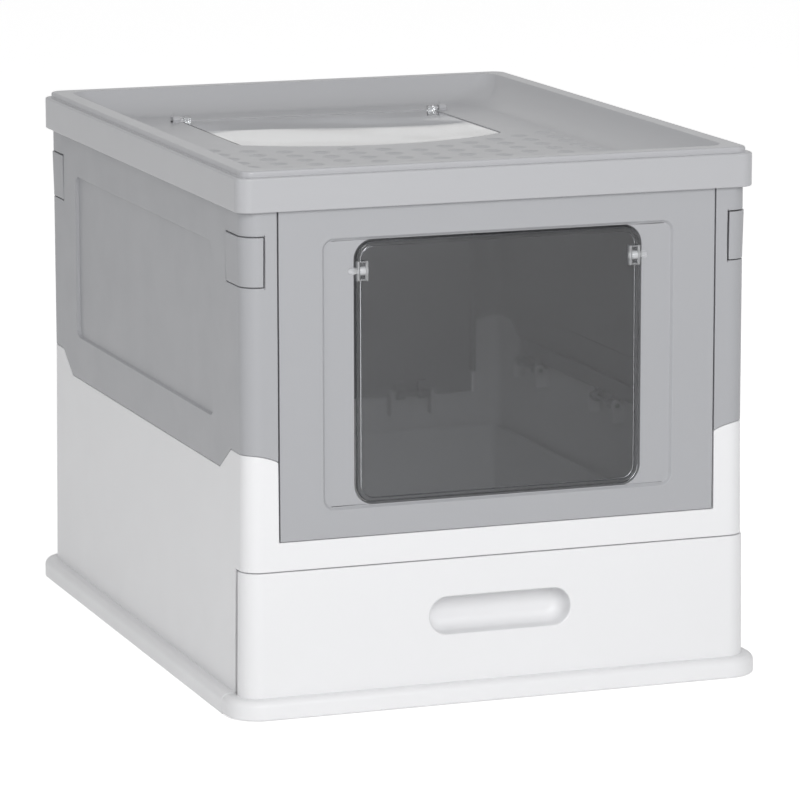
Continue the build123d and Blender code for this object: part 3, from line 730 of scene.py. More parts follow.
def bare_material(name: str) -> tuple[bpy.types.Material, NodeSheet, bpy.types.Node, bpy.types.Node]:
    """A material with only its output and a Principled shader.

    Args:
        name: the material's name.

    Returns:
        The material, its sheet, the output node and the shader.
    """
    material = bpy.data.materials.new(name)
    material.use_nodes = True
    material.node_tree.nodes.clear()
    sheet = NodeSheet(material.node_tree)
    output = sheet.add("ShaderNodeOutputMaterial")
    shader = sheet.add("ShaderNodeBsdfPrincipled")
    sheet.join(shader.outputs[0], output.inputs["Surface"])
    return material, sheet, output, shader


def relief_on(
    sheet: NodeSheet, shader: bpy.types.Node, height: bpy.types.NodeSocket, strength: float, depth: float
) -> None:
    """Gives a shader the relief of a height, through a bump node.

    Args:
        sheet: the material's sheet.
        shader: the shader that gets the relief.
        height: the height, from 0 to 1.
        strength: how strong the relief is.
        depth: its depth in metres.
    """
    bump = sheet.add("ShaderNodeBump")
    bump.inputs["Strength"].default_value = strength
    bump.inputs["Distance"].default_value = depth
    sheet.join(height, bump.inputs["Height"])
    sheet.join(bump.outputs["Normal"], shader.inputs["Normal"])


# ---------------------------------------------------------------- finishes
@dataclass(frozen=True)
class MouldedPlastic:
    """Opaque moulded plastic.

    Attributes:
        name: the material's name.
        colour: its linear colour.
        roughness: middle roughness.
        grain: strength of the surface grain.
        grain_scale: fineness of the grain, higher is finer.
        clouding: how much the colour drifts.
        rubbing: how much the gloss drifts.
        dust: how much dust sits low on the walls.
    """

    name: str
    colour: tuple[float, float, float]
    roughness: float = 0.45
    grain: float = 0.12
    grain_scale: float = 1500.0
    clouding: float = 0.04
    rubbing: float = 0.08
    dust: float = 0.05

    def material(self, groups: dict[str, bpy.types.NodeTree]) -> bpy.types.Material:
        """Builds the material from the moulded group."""
        material, sheet, _, shader = bare_material(self.name)
        skin = sheet.add("ShaderNodeGroup", node_tree=groups["moulded"])
        skin.inputs["Color"].default_value = (*self.colour, 1.0)
        skin.inputs["Clouding"].default_value = self.clouding
        skin.inputs["Grain Scale"].default_value = self.grain_scale
        skin.inputs["Roughness"].default_value = self.roughness
        skin.inputs["Rubbing"].default_value = self.rubbing
        skin.inputs["Dust"].default_value = self.dust
        sheet.join(skin.outputs["Color"], shader.inputs["Base Color"])
        sheet.join(skin.outputs["Roughness"], shader.inputs["Roughness"])
        relief_on(sheet, shader, skin.outputs["Height"], self.grain, 0.0002)
        shader.inputs["Specular IOR Level"].default_value = 0.45
        return material


@dataclass(frozen=True)
class ClearPlastic:
    """See-through moulded plastic. Light that only passes through it on its way is tinted, not bent.

    Attributes:
        name: the material's name.
        colour: its tint.
        roughness: middle roughness.
        haze: how much scratches dull it.
        waves: strength of the slow waves in its face.
        passing: tint of the light that passes through to the inside.
        gloss: how much its face mirrors, 0.5 as its index says.
        coat: how much more it mirrors at a low angle.
        clear: how clear it is, below 1 where moulded thick and cloudy.
    """

    name: str
    colour: tuple[float, float, float]
    roughness: float = 0.04
    haze: float = 0.06
    waves: float = 0.3
    passing: float = 0.8
    gloss: float = 0.5
    coat: float = 0.0
    clear: float = 1.0

    def material(self, groups: dict[str, bpy.types.NodeTree]) -> bpy.types.Material:
        """Builds the material from the clear group, with a plain see-through shader for passing light."""
        material, sheet, output, shader = bare_material(self.name)
        skin = sheet.add("ShaderNodeGroup", node_tree=groups["clear"])
        skin.inputs["Color"].default_value = (*self.colour, 1.0)
        skin.inputs["Roughness"].default_value = self.roughness
        skin.inputs["Haze"].default_value = self.haze
        sheet.join(skin.outputs["Color"], shader.inputs["Base Color"])
        sheet.join(skin.outputs["Roughness"], shader.inputs["Roughness"])
        relief_on(sheet, shader, skin.outputs["Height"], self.waves, 0.004)
        shader.inputs["IOR"].default_value = CLEAR_INDEX
        shader.inputs["Transmission Weight"].default_value = self.clear
        shader.inputs["Specular IOR Level"].default_value = self.gloss
        shader.inputs["Coat Weight"].default_value = self.coat
        shader.inputs["Coat IOR"].default_value = COAT_INDEX
        path = sheet.add("ShaderNodeLightPath")
        passing = sheet.add("ShaderNodeBsdfTransparent")
        passing.inputs["Color"].default_value = (self.passing,) * 3 + (1.0,)
        mix = sheet.add("ShaderNodeMixShader")
        either = sheet.math("MAXIMUM", path.outputs["Is Shadow Ray"], path.outputs["Is Diffuse Ray"])
        sheet.join(either, mix.inputs["Fac"])
        sheet.join(shader.outputs[0], mix.inputs[1])
        sheet.join(passing.outputs[0], mix.inputs[2])
        sheet.join(mix.outputs[0], output.inputs["Surface"])
        return material


@dataclass(frozen=True)
class DrawnSteel:
    """Drawn steel wire and screws: a fine grain in the face, and duller spots."""

    name: str
    colour: tuple[float, float, float] = (0.56, 0.57, 0.58)
    roughness: float = 0.28

    def material(self, groups: dict[str, bpy.types.NodeTree]) -> bpy.types.Material:
        """Builds the material."""
        material, sheet, _, shader = bare_material(self.name)
        place = sheet.add("ShaderNodeTexCoord").outputs["Object"]
        lines = sheet.noise(place, 1800.0, 2.0)
        spots = sheet.noise(place, 90.0, 3.0)
        tone = sheet.add("ShaderNodeHueSaturation")
        tone.inputs["Color"].default_value = (*self.colour, 1.0)
        sheet.join(sheet.ranged(spots, 0.3, 0.7, 0.85, 1.05), tone.inputs["Value"])
        sheet.join(tone.outputs["Color"], shader.inputs["Base Color"])
        rough = sheet.math("ADD", self.roughness, sheet.math("MULTIPLY", spots, 0.12))
        sheet.join(rough, shader.inputs["Roughness"])
        shader.inputs["Metallic"].default_value = 1.0
        relief_on(sheet, shader, lines, 0.15, 0.0001)
        return material


@dataclass
class Workshop:
    """Makes the finishes once and turns surfaces into pieces that ride on the frame."""

    groups: dict[str, bpy.types.NodeTree] = field(default_factory=dict)
    materials: dict[str, bpy.types.Material] = field(default_factory=dict)

    def __post_init__(self) -> None:
        """Builds the shared node groups."""
        self.groups = {"moulded": moulded_group(), "clear": clear_group()}

    def dressed(self, finish: "MouldedPlastic | ClearPlastic | DrawnSteel") -> bpy.types.Material:
        """The material of a finish, made the first time it is asked for."""
        if finish.name not in self.materials:
            self.materials[finish.name] = finish.material(self.groups)
        return self.materials[finish.name]

    def piece(
        self,
        name: str,
        surface: Surface,
        finish: "MouldedPlastic | ClearPlastic",
        body: str,
        nodes: Sequence[str],
        edge: float = 0.5,
        weld: bool = False,
    ) -> bpy.types.Object:
        """Makes a piece, finishes its edges and puts it on the frame.

        Args:
            name: the piece's name.
            surface: its closed surfaces.
            finish: what it is made of.
            body: the body that it rides on.
            nodes: the nodes that it stands for.
            edge: width of its rounded edges, 0 for none.
            weld: its surfaces meet edge to edge and become one.

        Returns:
            The piece.
        """
        mesh = bpy.data.meshes.new(name)
        faces = surface.quads.tolist() + [cap.tolist() for cap in surface.caps]
        mesh.from_pydata((surface.points * MM).tolist(), [], faces)
        shape = bmesh.new()
        shape.from_mesh(mesh)
        if weld:
            bmesh.ops.remove_doubles(shape, verts=shape.verts, dist=WELD_REACH)
        bmesh.ops.dissolve_degenerate(shape, dist=SAME_POINT, edges=shape.edges)
        bmesh.ops.recalc_face_normals(shape, faces=shape.faces)
        shape.to_mesh(mesh)
        shape.free()
        mesh.polygons.foreach_set("use_smooth", np.ones(len(mesh.polygons), bool))
        mesh.materials.append(self.dressed(finish))
        made = bpy.data.objects.new(name, mesh)
        bpy.context.scene.collection.objects.link(made)
        if edge > 0:
            bevel = made.modifiers.new("rounded_edges", "BEVEL")
            bevel.width, bevel.segments = edge * MM, EDGE_STEPS
            bevel.limit_method, bevel.angle_limit = "ANGLE", math.radians(EDGE_ANGLE)
            bevel.use_clamp_overlap = False
        shading = made.modifiers.new("even_shading", "WEIGHTED_NORMAL")
        shading.weight, shading.keep_sharp = FLAT_WEIGHT, True
        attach(made, body)
        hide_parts(*nodes)
        log.info("%s: %d points, %d faces, on %s", name, len(mesh.vertices), len(mesh.polygons), body)
        return made

    def redress(self, nodes: Sequence[str], finish: DrawnSteel) -> None:
        """Gives nodes of the frame a better material."""
        for name in nodes:
            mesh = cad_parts[name].data
            mesh.materials.clear()
            mesh.materials.append(self.dressed(finish))
            log.info("%s: dressed in %s", name, finish.name)


# ---------------------------------------------------------------- the box's own sizes
@dataclass(frozen=True)
class Walls:
    """Sizes that the base, the drawer and the grey walls share.

    Attributes:
        base: the white walls on the floor.
        panels: the grey walls.
        drawer: the drawer face on the floor.
        foot: the foot skirt.
        lean: how far the white walls lean in up to the posts' tops.
        post_top: where the grey columns stand.
        side_sill: top of a white side wall between its posts.
        sill_half: half length of that stretch.
        slope_run: length of the slope up to a post.
        end_sill: top of the white front and rear walls.
        dip: how much lower a post is beside those walls.
        dip_start: where that dip starts.
        column: where a corner column ends on the front and the rear.
        drawer_line: where the base starts, behind the drawer face.
        gap: between the white and the grey walls.
    """

    base: Footprint = Footprint(181.0, 233.5, 14.0)
    panels: Footprint = Footprint(179.0, 231.5, 12.0)
    drawer: Footprint = Footprint(181.8, 234.3, 14.8)
    foot: Footprint = Footprint(190.0, 242.5, 23.0)
    lean: float = 2.0
    post_top: float = 177.0
    side_sill: float = 161.0
    sill_half: float = 178.0
    slope_run: float = 24.0
    end_sill: float = 118.0
    dip: float = 5.0
    dip_start: float = 176.0
    column: float = 155.5
    drawer_line: float = -212.0
    gap: float = 0.3

    def seam(self, plan: Array) -> Array:
        """Height of the seam: the sill, a slope to the posts, and a falling arc past the corners.

        Args:
            plan: places on the grey outline, (n, 2).

        Returns:
            The seam's height at each.
        """
        climb = np.clip((np.abs(plan[:, 1]) - self.sill_half) / self.slope_run, 0, 1)
        width = self.dip_start - self.column
        bend = (width**2 + self.dip**2) / (2 * self.dip)
        past = np.clip(self.dip_start - np.abs(plan[:, 0]), 0, width)
        fall = bend - np.sqrt(bend**2 - past**2)
        return self.side_sill + climb * (self.post_top - self.side_sill) - fall

    def column_lines(self, footprint: Footprint, near: Sequence[float] = ()) -> Array:
        """Distances along that follow the corners, the columns and the slopes, on the right half.

        Args:
            footprint: the outline that they are on.
            near: more places on the front and the rear, as X.

        Returns:
            The distances.
        """
        ends = np.concatenate((np.linspace(self.column, footprint.flat_x, 5), np.asarray(near, float)))
        slope = np.linspace(self.sill_half, self.sill_half + self.slope_run, 3)
        sides = np.concatenate((-slope, slope, np.linspace(-120, 120, 5)))
        return sorted_lines(ends, footprint.rear(0) - ends, footprint.arcs(10), footprint.side(0) + sides)


WALLS = Walls()

WHITE_SHELL = MouldedPlastic(
    "white_shell_plastic", (0.81, 0.812, 0.825), 0.38, 0.04, 1300.0, 0.02, 0.06, 0.05
)
WHITE_TRAY = MouldedPlastic("white_tray_plastic", (0.80, 0.805, 0.815), 0.33, 0.05, 900.0, 0.02, 0.10, 0.08)
GREY_SHELL = MouldedPlastic("grey_wall_plastic", (0.395, 0.400, 0.418), 0.44, 0.08, 1500.0, 0.03, 0.06, 0.03)
GREY_LID = MouldedPlastic("grey_lid_plastic", (0.462, 0.466, 0.484), 0.29, 0.04, 1500.0, 0.02, 0.03, 0.02)
SMOKED_CLEAR = ClearPlastic("smoked_clear_plastic", (0.40, 0.41, 0.43), 0.03, 0.05, 0.25, 0.74, 0.1)
WATER_CLEAR = ClearPlastic("water_clear_plastic", (0.88, 0.90, 0.92), 0.02, 0.03, 0.5, 0.88, 1.0, 1.0)
PIN_CLEAR = ClearPlastic("pin_clear_plastic", (0.90, 0.91, 0.93), 0.08, 0.05, 0.2, 0.8, 0.8, 0.0, 0.7)
STEEL = DrawnSteel("drawn_steel")


# ---------------------------------------------------------------- base
@dataclass
class BaseFrame:
    """White lower shell: leaning walls with posts, a sill, a floor with rails, lugs and the foot."""

    wall: float = 3.5
    drawer_top: float = 98.4
    floor: tuple[float, float] = (3.0, 5.5)
    floor_half: tuple[float, float] = (176.6, 229.2)
    floor_round: float = 10.0
    rail: tuple[float, float, float] = (136.0, 144.0, 7.5)
    rail_ends: tuple[float, float] = (-206.0, 222.0)
    shelf: tuple[float, float, float] = (176.4, 2.5, 12.0)
    foot_height: float = 14.0
    foot_round: float = 5.0
    foot_skin: float = 2.5
    foot_inner: float = 9.6
    hinge: tuple[float, float] = (224.5, 119.5)
    hinge_pairs: tuple[float, ...] = (-103.0, 103.0)
    lug_low: float = 104.0
    side_hinge: tuple[float, float] = (170.0, 151.0)
    side_pairs: tuple[float, ...] = (-150.0, 0.0, 150.0)
    side_lug_low: float = 138.0
    end_lug: tuple[float, float] = (14.65, 18.35)
    side_lug: tuple[float, float] = (21.65, 25.35)
    eye: float = 3.6

    def place(self, u: Array, v: Array, depth: Array) -> Array:
        """Leaning wall: the outline drawn in with height, its grid stretched to the seam above the sill."""
        point, normal = WALLS.base.locate(u)
        sill = WALLS.end_sill - WALLS.gap
        top = WALLS.seam(point - WALLS.lean * normal) - WALLS.gap
        share = (v - sill) / (WALLS.side_sill - sill)
        z = np.where(v > sill, sill + share * (top - sill), v)
        plan = point - normal * (WALLS.lean * z / WALLS.post_top + depth)[:, None]
        return np.column_stack((plan, z))

    def walls(self) -> Surface:
        """The walls all round, with room for the drawer face and for the grey front and rear panels."""
        line = WALLS.base.side(WALLS.drawer_line)
        middle = np.array([0.0, 80.0])
        right = sorted_lines(WALLS.column_lines(WALLS.base), middle, [line], WALLS.base.rear(middle))
        sill = WALLS.end_sill - WALLS.gap
        rows = sorted_lines([0, 14, 56, self.drawer_top, sill], np.linspace(sill, WALLS.side_sill, 4))
        skin = Skin(sorted_lines(-right, right), rows, self.place, self.wall, wraps=True)
        skin.cut(-line, line, -1, self.drawer_top)
        top, end = WALLS.post_top, WALLS.base.rear(WALLS.column)
        skin.cut(-WALLS.column, WALLS.column, sill, top)
        skin.cut(end, WALLS.base.rear(0) + 1, sill, top)
        skin.cut(-WALLS.base.rear(0) - 1, -end, sill, top)
        return skin.surface()

    def foot_profile(self, low: float) -> Array:
        """Closed profile of the foot: flat top, rounded edge, hollow below."""
        corners = [
            (-self.foot_inner, self.foot_height - self.foot_skin),
            (-self.foot_inner, self.foot_height),
            (0, self.foot_height),
            (0, low),
            (-self.foot_skin, low),
            (-self.foot_skin, self.foot_height - self.foot_skin),
        ]
        return rounded_line(corners, (0, 0, self.foot_round, 0.7, 0.4, 0.8), closed=True, steps=6)

    def foot(self) -> Surface:
        """The foot on the sides and the rear."""
        foot = WALLS.foot
        right = sorted_lines([foot.side(WALLS.drawer_line)], foot.arcs(12)[13:], [foot.rear(0)])
        u = np.concatenate((right, 2 * foot.rear(0) - right[-2::-1]))
        return swept(u, foot, self.foot_profile(0.0))

    def lugs(self) -> Surface:
        """Lugs inside the walls that hold the hinge rods, each a foot with a round eye."""
        y, z = self.hinge
        made: list[Surface] = []
        for middle in self.hinge_pairs:
            for side in (-1, 1):
                low, high = sorted(middle + side * reach for reach in self.end_lug)
                made.append(block((low, y - self.eye, self.lug_low), (high, y + self.eye, z)))
                made.append(block((low, y, self.lug_low), (high, y + 6, WALLS.end_sill - WALLS.gap - 0.4)))
                made.append(revolved([(low, self.eye), (high, self.eye)], Axis.X, (0, y, z)))
        ends = joined(made)
        x, z = self.side_hinge
        made = []
        for middle in self.side_pairs:
            for side in (-1, 1):
                low, high = sorted(middle + side * reach for reach in self.side_lug)
                made.append(block((x - self.eye, low, self.side_lug_low), (x + 6.8, high, z)))
                made.append(revolved([(low, self.eye), (high, self.eye)], Axis.Y, (x, 0, z)))
        sides = joined(made)
        return ends + ends.mirrored(Axis.Y) + sides + sides.mirrored(Axis.X)

    def inner(self) -> Surface:
        """Floor, rails and the shelf behind the front sill."""
        x, y = self.floor_half
        corners = [(-x, WALLS.drawer_line), (x, WALLS.drawer_line), (x, y), (-x, y)]
        outline = rounded_line(corners, (0, 0, self.floor_round, self.floor_round), closed=True)
        near, far, top = self.rail
        half, thick, reach = self.shelf
        front = -WALLS.panels.half_y + self.wall
        rails = [
            block((side * near, self.rail_ends[0], self.floor[0]), (side * far, self.rail_ends[1], top))
            for side in (-1, 1)
        ]
        shelf = block(
            (-half, front - 1, self.drawer_top + 0.02), (half, front + reach, self.drawer_top + thick)
        )
        return joined([prism(outline, *self.floor), *rails, shelf])

    def build(self, shop: Workshop) -> None:
        """Builds the base and puts it on the frame."""
        whole = joined([self.walls(), self.foot(), self.inner(), self.lugs()])
        shop.piece("base_shell", whole, WHITE_SHELL, "base", ["base_frame"], 0.7)


# ---------------------------------------------------------------- drawer
@dataclass
class Drawer:
    """White drawer: face that wraps the corners, with its foot and finger recess, and the open tray."""

    top: float = 97.9
    low: float = 13.0
    end: float = -212.3
    skin: float = 3.0
    cap: float = 2.5
    cap_reach: float = 0.94
    foot_lift: float = 1.0
    mouth: tuple[float, float] = (50.5, 12.8)
    mouth_z: float = 59.5
    lip: float = 1.3
    hook: float = 8.0
    hook_start: float = 9.0
    scoop: float = 8.0
    margin: tuple[float, float] = (62.0, 27.0)
    cup_skin: float = 2.0
    boss: tuple[float, float, float] = (4.5, -231.5, -208.3)
    screws: tuple[tuple[float, float], ...] = ((-120, 35), (-120, 80), (120, 35), (120, 80))
    tray_half: tuple[float, float] = (173.5, 217.0)
    tray_middle: float = 9.0
    tray_corner: float = 7.0
    tray_wall: float = 2.5
    tray_z: tuple[float, float] = (7.8, 92.0)

    def place(self, u: Array, v: Array, depth: Array) -> Array:
        """Leaning face; the last unit of height folds back as the flat top, to the drawer's end line."""
        point, normal = WALLS.drawer.locate(u)
        z = np.minimum(v, self.top)
        share = np.clip(v - self.top, 0, 1)[:, None]
        plan = point - normal * (WALLS.lean * z / WALLS.post_top + depth)[:, None]
        back = np.column_stack((plan[:, 0] * self.cap_reach, np.full(len(plan), self.end)))
        plan = plan + share * (back - plan)
        drop = np.where(v >= self.top, depth * self.cap / self.skin, 0)
        return np.column_stack((plan, z - drop))

    def recess(self) -> tuple[list[Ring], list[Ring]]:
        """Outlines of the finger recess: a rounded lip, a hollow that rises behind it, a scooped back.

        Returns:
            The outlines of the visible face and those of the face behind it.
        """
        half, high = self.mouth
        mouth = Ring(half, high, high, 0.0)
        rings: list[Ring] = []
        backs: list[Ring] = []
        for turn in np.linspace(0, math.pi / 2, 6):
            out = self.lip * (1 - math.sin(turn))
            rings.append(mouth.grown(out, self.lip * (1 - math.cos(turn))))
            backs.append(mouth.grown(out + self.cup_skin, self.skin, self.hook))
        for depth, lift in ((self.skin, 0.0), (self.skin + 0.1, self.hook), (self.hook_start, self.hook)):
            rings.append(mouth.grown(0.0, depth, lift))
            backs.append(mouth.grown(self.cup_skin - 0.1, max(depth, self.skin + 0.2), self.hook))
        for turn in np.linspace(0, math.pi / 2, 9)[1:]:
            depth = self.hook_start + self.scoop * math.sin(turn)
            drawn = -self.scoop * (1 - math.cos(turn))
            rings.append(mouth.grown(drawn, depth, self.hook))
            out, behind = drawn * 0.8 + self.cup_skin - 0.1, depth + self.cup_skin * math.sin(turn)
            backs.append(mouth.grown(out, behind, self.hook))
        return rings, backs

    def face(self) -> Surface:
        """The face with its recess, foot and screw bosses."""
        end = WALLS.drawer.side(self.end)
        (half, high), (wide, tall) = self.mouth, self.margin
        half, high = half + self.lip, high + self.lip
        across = sorted_lines(
            corner_lines(half, high, wide - half, steps=8), [-wide, wide, -110, 110, -end, end],
            WALLS.drawer.arcs(12)[:13], -WALLS.drawer.arcs(12)[:13],
        )
        up = sorted_lines(
            corner_lines(high, high, tall - high, self.mouth_z, 8),
            [self.mouth_z - tall, self.mouth_z + tall, self.low, self.top, self.top + 1],
        )
        skin = Skin(across[(across >= -end) & (across <= end)], up, self.place, self.skin)
        rings, backs = self.recess()
        skin.inset((-wide, self.mouth_z - tall), (wide, self.mouth_z + tall), rings, backs, True)
        foot = WALLS.foot
        line = foot.side(self.end)
        right = sorted_lines(foot.arcs(12)[:13], [line])
        base = BaseFrame()
        skirt = swept(sorted_lines(-right, right), foot, base.foot_profile(self.foot_lift))
        radius, near, far = self.boss
        bosses = [revolved([(near, radius), (far, radius)], Axis.Y, (x, 0, z)) for x, z in self.screws]
        return joined([skin.surface(), skirt, *bosses])

    def tray(self) -> Surface:
        """Open tray: rounded rectangles carried up the outside, over the rim and down the inside."""
        low, high = self.tray_z
        wall = self.tray_wall
        profile = rounded_line(
            [(12, low), (0, low), (0, high), (wall, high), (wall, low + wall), (14, low + wall)],
            (0, 4.0, 1.2, 1.2, 5.0, 0),
        )
        inset, z = profile.T
        radius = np.maximum(self.tray_corner - inset, 2.0)
        plan = rounded_rectangle(self.tray_half[0] - inset, self.tray_half[1] - inset, radius)
        plan[..., 1] += self.tray_middle
        height = np.broadcast_to(z[:, None, None], (*plan.shape[:2], 1))
        return stack(np.concatenate((plan, height), -1))

    def build(self, shop: Workshop) -> None:
        """Builds the drawer and puts it on the frame."""
        shop.piece("drawer_face", self.face(), WHITE_SHELL, "drawer", ["drawer_front"], 0.7)
        shop.piece("litter_tray", self.tray(), WHITE_TRAY, "drawer", ["drawer_tray"], 0.0)


# ---------------------------------------------------------------- grey walls
@dataclass
class EndPanel:
    """Grey rear panel: shallow field, stiffening rims and knuckles. The front one also has the doorway."""

    half: float = 154.5
    low: float = 118.0
    high: float = 341.2
    wall: float = 3.0
    field_half: tuple[float, float] = (124.5, 90.8)
    middle: float = 227.5
    field_round: float = 8.0
    field_depth: float = 2.0
    field_slope: float = 1.68
    margin: float = 3.0
    door: tuple[float, float, float] = (102.0, 88.8, 13.5)
    collar: float = 2.0
    collar_depth: float = 12.0
    rim: tuple[float, float, float] = (2.4, 11.0, 135.0)
    hinge: tuple[float, float] = (-224.5, 119.5)
    knuckles: tuple[float, ...] = (-112.0, -94.0, 94.0, 112.0)
    knuckle: tuple[float, float] = (3.6, 3.5)
    web_top: float = 130.0
    socket: tuple[float, float, float] = (110.0, 9.5, 5.5)
    pivot_z: float = 295.5

    def place(self, u: Array, v: Array, depth: Array) -> Array:
        """Upright plane that faces forward: X along, Z up, depth towards the rear."""
        return np.column_stack((u, depth - WALLS.panels.half_y, v))

    def plate(self, doorway: bool) -> Surface:
        """The plate with its field, closed or with the doorway in it."""
        wide, tall = self.field_half
        rect_x, rect_z = wide + self.margin, tall + self.margin
        across = sorted_lines(
            corner_lines(wide, self.field_round, self.margin), [-rect_x, rect_x, 0, -self.half, self.half]
        )
        up = sorted_lines(
            corner_lines(tall, self.field_round, self.margin, self.middle),
            [self.middle - rect_z, self.middle + rect_z, self.middle, self.low, self.high],
        )
        skin = Skin(across, up, self.place, self.wall)
        lip = Ring(wide, tall, self.field_round, 0.0)
        behind = self.wall + self.field_depth
        rings = [lip, lip.grown(-self.field_slope, self.field_depth)]
        backs = [lip.grown(self.margin, self.wall), lip.grown(self.margin - 0.1, behind)]
        if doorway:
            door = Ring(*self.door, self.field_depth)
            rings.append(door)
            backs.append(door.grown(0.0, behind))
        skin.inset(
            (-rect_x, self.middle - rect_z), (rect_x, self.middle + rect_z), rings, backs, not doorway
        )
        return skin.surface()

    def fittings(self) -> Surface:
        """Rims behind the plate, and knuckles with their webs."""
        thick, back, start = self.rim
        front = -WALLS.panels.half_y
        y0, y1 = front + self.wall - 0.2, front + back
        made = [
            block((side * self.half, y0, start), (side * (self.half - thick), y1, self.high))
            for side in (-1, 1)
        ]
        inner = self.half - thick + 0.1
        made.append(block((-inner, y0, self.high - thick), (inner, y1, self.high)))
        radius, reach = self.knuckle
        y, z = self.hinge
        for x in self.knuckles:
            made.append(revolved([(x - reach, radius), (x + reach, radius)], Axis.X, (0, y, z)))
            made.append(block((x - reach, front + self.wall / 2, z), (x + reach, y, self.web_top)))
        return joined(made)

    def doorway(self) -> Surface:
        """Collar behind the doorway, and a socket on each side for the flap's pins."""
        wide, tall, radius = self.door
        behind = self.wall + self.field_depth - 0.02
        grow = np.array((0.0, 0.0, self.collar, self.collar))
        depth = np.array((behind, self.collar_depth, self.collar_depth, behind))
        plan = rounded_rectangle(wide + grow, tall + grow, radius + grow)
        y = np.broadcast_to((depth - WALLS.panels.half_y)[:, None], plan.shape[:2])
        loops = np.stack((plan[..., 0], y, plan[..., 1] + self.middle), -1)
        far, back, half = self.socket
        front = -WALLS.panels.half_y
        sockets = [
            block(
                (side * (wide + 0.02), front + self.field_depth + 0.5, self.pivot_z - half),
                (side * far, front + back, self.pivot_z + half),
            )
            for side in (-1, 1)
        ]
        return joined([stack(loops, ring=True), *sockets])

    def build(self, shop: Workshop) -> None:
        """Builds both panels and puts them on the frame."""
        front = joined([self.plate(True), self.fittings(), self.doorway()])
        rear = (self.plate(False) + self.fittings()).turned()
        shop.piece("front_wall", front, GREY_SHELL, "front_panel", ["front_panel"])
        shop.piece("rear_wall", rear, GREY_SHELL, "rear_panel", ["rear_panel"])


@dataclass
class SidePanel:
    """Grey side panel with both corner columns, its field, inner strip, knuckles and latch windows."""

    wall: float = 3.0
    top: float = 341.7
    straight: float = 187.0
    field_half: tuple[float, float] = (164.5, 59.25)
    middle: float = 251.25
    field_round: float = 7.0
    field_depth: float = 2.5
    field_slope: float = 0.91
    margin: float = 3.0
    window: tuple[float, float] = (288.0, 322.0)
    window_side: float = 194.5
    window_end: float = 164.3
    window_frame: float = 1.2
    strip: tuple[float, float, float, float] = (172.0, 174.5, 156.0, 168.0)
    strip_half: float = 172.0
    shelf: tuple[float, float] = (177.4, 165.5)
    hinge: tuple[float, float] = (170.0, 151.0)
    knuckle_places: tuple[float, ...] = (-166.0, -134.0, -16.0, 16.0, 134.0, 166.0)
    knuckle: tuple[float, float] = (3.6, 3.5)
    ear: tuple[float, float, float] = (5.0, 177.5, 197.6)

    def place(self, u: Array, v: Array, depth: Array) -> Array:
        """Upright wall on the outline; below the straight part the grid stretches down to the seam."""
        point, normal = WALLS.panels.locate(u)
        low = WALLS.seam(point)
        share = (v - WALLS.side_sill) / (self.straight - WALLS.side_sill)
        z = np.where(v < self.straight, low + share * (self.straight - low), v)
        return np.column_stack((point - normal * depth[:, None], z))

    def plate(self) -> Surface:
        """The wall of the right panel, round both corners."""
        outline = WALLS.panels
        wide, tall = self.field_half
        rect_u, rect_v = wide + self.margin, tall + self.margin
        centre = outline.side(0)
        windows = np.array((-self.window_side, self.window_side))
        beside = np.array((-self.window_frame, 0, self.window_frame))
        along = sorted_lines(
            WALLS.column_lines(outline, self.window_end + beside),
            corner_lines(wide, self.field_round, self.margin, centre),
            centre + windows,
            centre + windows * (1 + self.window_frame / self.window_side),
            [centre - rect_u, centre + rect_u],
        )
        up = sorted_lines(
            [WALLS.side_sill, 174, self.straight, self.middle, *self.window, self.top],
            [self.window[0] - self.window_frame, self.window[1] + self.window_frame],
            corner_lines(tall, self.field_round, self.margin, self.middle),
            [self.middle - rect_v, self.middle + rect_v],
        )
        skin = Skin(along, up, self.place, self.wall)
        skin.cut(self.window_end, centre - self.window_side, *self.window)
        skin.cut(centre + self.window_side, outline.rear(self.window_end), *self.window)
        lip = Ring(wide, tall, self.field_round, 0.0)
        behind = self.wall + self.field_depth
        skin.inset(
            (centre - rect_u, self.middle - rect_v),
            (centre + rect_u, self.middle + rect_v),
            [lip, lip.grown(-self.field_slope, self.field_depth)],
            [lip.grown(self.margin - 0.1, self.wall), lip.grown(self.margin - 0.2, behind)],
            True,
        )
        return skin.surface()

    def fittings(self) -> Surface:
        """Strip and shelf inside the white wall, knuckles on their arms, and ears for the latch pins."""
        x0, x1, low, high = self.strip
        shelf_x, shelf_z = self.shelf
        made = [
            block((x0, -self.strip_half, low), (x1, self.strip_half, high)),
            block((x0 + 0.2, -self.strip_half + 0.2, shelf_z), (shelf_x, self.strip_half - 0.2, high - 0.02)),
        ]
        x, z = self.hinge
        radius, reach = self.knuckle
        for y in self.knuckle_places:
            made.append(revolved([(y - reach, radius), (y + reach, radius)], Axis.Y, (x, 0, z)))
            made.append(block((x, y - reach, z), (x1 - 0.1, y + reach, low + 1)))
        size, face, pivot_y = self.ear
        for side in (-1, 1):
            for z0 in (self.window[0] - size, self.window[1]):
                y = side * pivot_y
                made.append(block((face - size, y - size / 2, z0), (face, y + size / 2, z0 + size)))
        return joined(made)

    def build(self, shop: Workshop) -> None:
        """Builds both side panels and puts them on the frame."""
        right = self.plate() + self.fittings()
        for name, shape in (("right", right), ("left", right.mirrored(Axis.X))):
            shop.piece(f"{name}_wall", shape, GREY_SHELL, "base", [f"{name}_panel"])


